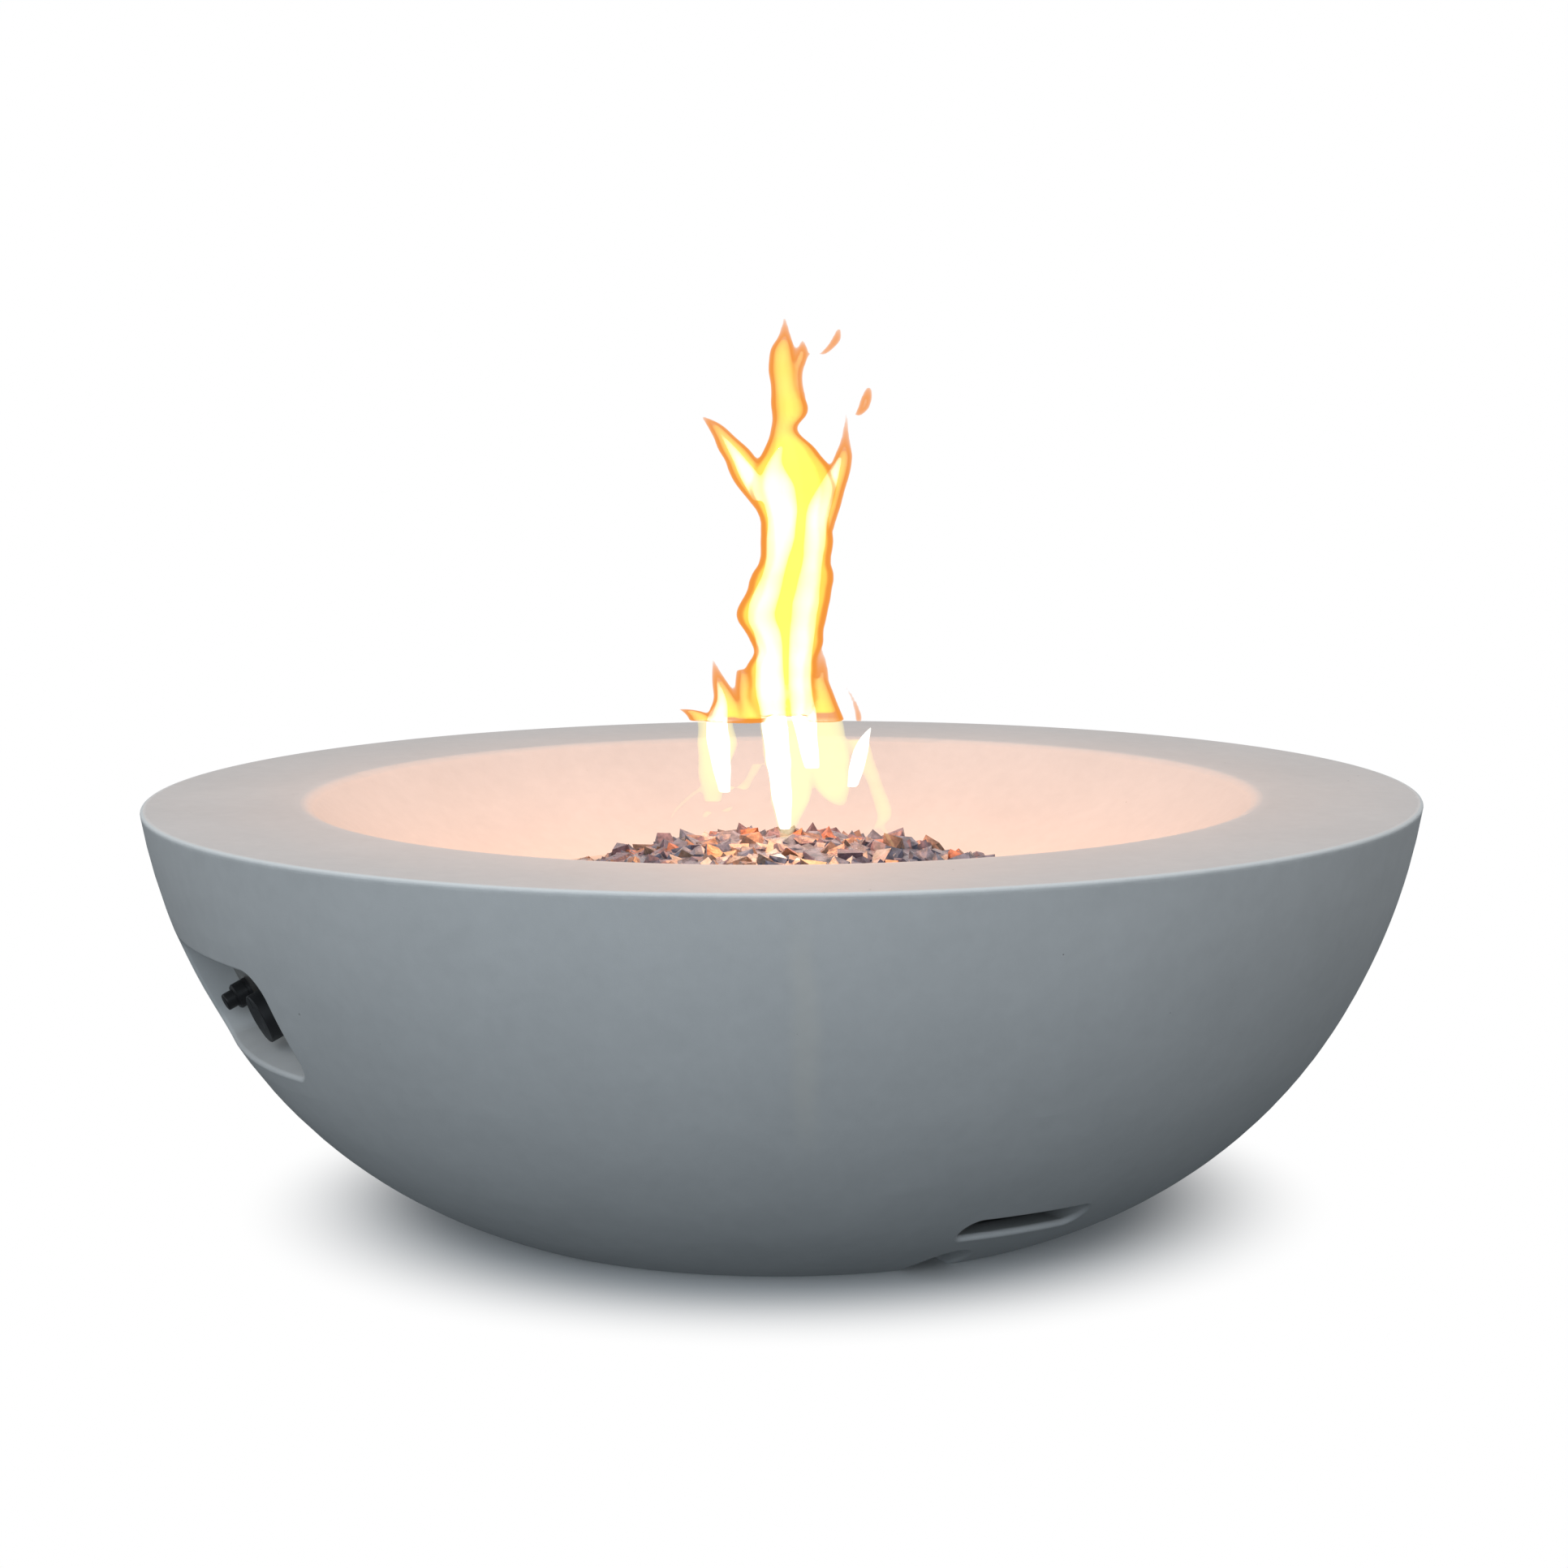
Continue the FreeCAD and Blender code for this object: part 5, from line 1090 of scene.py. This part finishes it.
def gas_mesh(name, tongues, azimuth, skin=0.0, low=-1.0):
    """Closed skin round tongues of gas, thinner by a skin, and only above a height over the rim."""
    across = Vector((math.cos(azimuth), math.sin(azimuth), 0.0))
    away = Vector((-math.sin(azimuth), math.cos(azimuth), 0.0))
    made = bmesh.new()
    for points in tongues:
        loops = []
        for x, z, half in smoothed(points, skin):
            if z < low:
                continue
            centre = across * x + Vector((0.0, 0.0, RIM_HEIGHT + z))
            wobble = 1.0 + 0.14 * noise.noise(centre * 60.0)
            loop = []
            for i in range(GAS_CORNERS):
                turn = 2 * math.pi * i / GAS_CORNERS
                side = across * math.cos(turn) + away * math.sin(turn) * GAS_FLATNESS
                loop.append(made.verts.new(centre + side * half * wobble))
            loops.append(loop)
        if len(loops) < 2:
            continue
        for first, second in zip(loops, loops[1:]):
            for i in range(GAS_CORNERS):
                j = (i + 1) % GAS_CORNERS
                made.faces.new((first[i], first[j], second[j], second[i]))
        made.faces.new(list(reversed(loops[0])))
        made.faces.new(loops[-1])
    return closed_mesh(name, made)


def fused(name, *shape):
    """Piece whose tongues are melted into one soft body."""
    piece = new_piece(name, gas_mesh(name, *shape))
    remesh = piece.modifiers.new("Fuse", "REMESH")
    remesh.mode = "VOXEL"
    remesh.voxel_size = 0.0018
    remesh.use_smooth_shade = True
    smooth = piece.modifiers.new("Soften", "SMOOTH")
    smooth.factor = 0.5
    smooth.iterations = 2
    return plain_mesh(piece)


def hollow_out(piece, inner):
    """Leave only the skin between a body of gas and a smaller one inside it."""
    made = bmesh.new()
    made.from_mesh(inner.data)
    bmesh.ops.reverse_faces(made, faces=made.faces)
    made.from_mesh(piece.data)
    made.to_mesh(piece.data)
    made.free()
    bpy.data.objects.remove(inner)


def burn(piece, name, colour, glow, density):
    """Fill a body with glowing gas, as part of the stage: it is light, and no piece of the bowl.

    Glow is its light for each metre, and density is how fast it hides what is behind it.
    """
    material, graph = empty_material(name)
    light = graph.node("ShaderNodeEmission", {"Color": opaque(colour), "Strength": glow})
    soak = graph.node("ShaderNodeVolumeAbsorption", {"Color": opaque((0.0, 0.0, 0.0)), "Density": density})
    both = graph.node("ShaderNodeAddShader", {0: light.outputs[0], 1: soak.outputs[0]})
    graph.node("ShaderNodeOutputMaterial", {"Volume": both.outputs[0]})
    material.cycles.emission_sampling = "NONE"
    piece.data.materials.clear()
    piece.data.materials.append(material)
    piece.visible_diffuse = False
    piece.visible_shadow = False


def glow_lamp(name, height, power, radius):
    """Warm lamp inside the flame, at a height over the rim."""
    data = bpy.data.lights.new(name, "POINT")
    data.energy = power
    data.shadow_soft_size = radius
    data.color = WARM_LIGHT
    lamp = new_piece(name, data)
    lamp.location = (0.0, 0.0, RIM_HEIGHT + height)
    lamp.visible_camera = False


class FIREBOWL_OT_flame(bpy.types.Operator):
    """Light the flame"""

    bl_idname = "firebowl.flame"
    bl_label = "Flame"

    def execute(self, context):
        settings = context.scene.fire_flame
        azimuth = context.scene.fire_stage.azimuth
        skin = settings.skin * 1000
        edge = fused("flame_edge", TONGUES, azimuth, 0.0, COLOUR_LOW)
        hollow_out(edge, fused("flame_cavity", TONGUES, azimuth, skin, COLOUR_LOW + 0.001))
        body = fused("flame_body", TONGUES, azimuth, skin + 0.5, COLOUR_LOW + 0.002)
        core = fused("flame_core", STRANDS, azimuth)
        wisps = fused("flame_wisps", WISPS, azimuth)
        burn(edge, "Flame Edge", settings.edge, 330.0, 340.0)
        burn(body, "Flame Body", settings.body, 130.0, 45.0)
        burn(core, "Flame Core", settings.core, 330.0, 0.0)
        burn(wisps, "Flame Wisps", settings.wisp, 48.0, 30.0)
        glow_lamp("Flame Glow Low", 0.05, settings.glow * 0.2, 0.06)
        glow_lamp("Flame Glow High", 0.17, settings.glow * 0.8, 0.07)
        return {"FINISHED"}


OPERATORS = [FIREBOWL_OT_stage, FIREBOWL_OT_casting, FIREBOWL_OT_fire_glass, FIREBOWL_OT_controls,
             FIREBOWL_OT_burner, FIREBOWL_OT_gas_train, FIREBOWL_OT_springs, FIREBOWL_OT_wiring,
             FIREBOWL_OT_flame]


class FIREBOWL_PT_sidebar(bpy.types.Panel):
    """Settings and steps of the fire bowl"""

    bl_label = "Gas Fire Bowl"
    bl_idname = "FIREBOWL_PT_sidebar"
    bl_space_type = "VIEW_3D"
    bl_region_type = "UI"
    bl_category = "Fire Bowl"

    def draw(self, context):
        for name, group in SETTINGS.items():
            box = self.layout.box()
            box.label(text=group.__doc__)
            for label in group.__annotations__:
                box.prop(getattr(context.scene, name), label)
        for operator in OPERATORS:
            self.layout.operator(operator.bl_idname)


def register():
    """Make the settings, operators and panel known."""
    for name, group in SETTINGS.items():
        bpy.utils.register_class(group)
        setattr(bpy.types.Scene, name, bpy.props.PointerProperty(type=group))
    for made in OPERATORS + [FIREBOWL_PT_sidebar]:
        bpy.utils.register_class(made)


def unregister():
    """Take them away again."""
    for made in reversed(OPERATORS + [FIREBOWL_PT_sidebar]):
        bpy.utils.unregister_class(made)
    for name, group in SETTINGS.items():
        delattr(bpy.types.Scene, name)
        bpy.utils.unregister_class(group)


def main():
    """Dress the whole bowl and note how large it came out."""
    register()
    for operator in OPERATORS:
        group, name = operator.bl_idname.split(".")
        getattr(getattr(bpy.ops, group), name)()


if __name__ == "__main__":
    main()
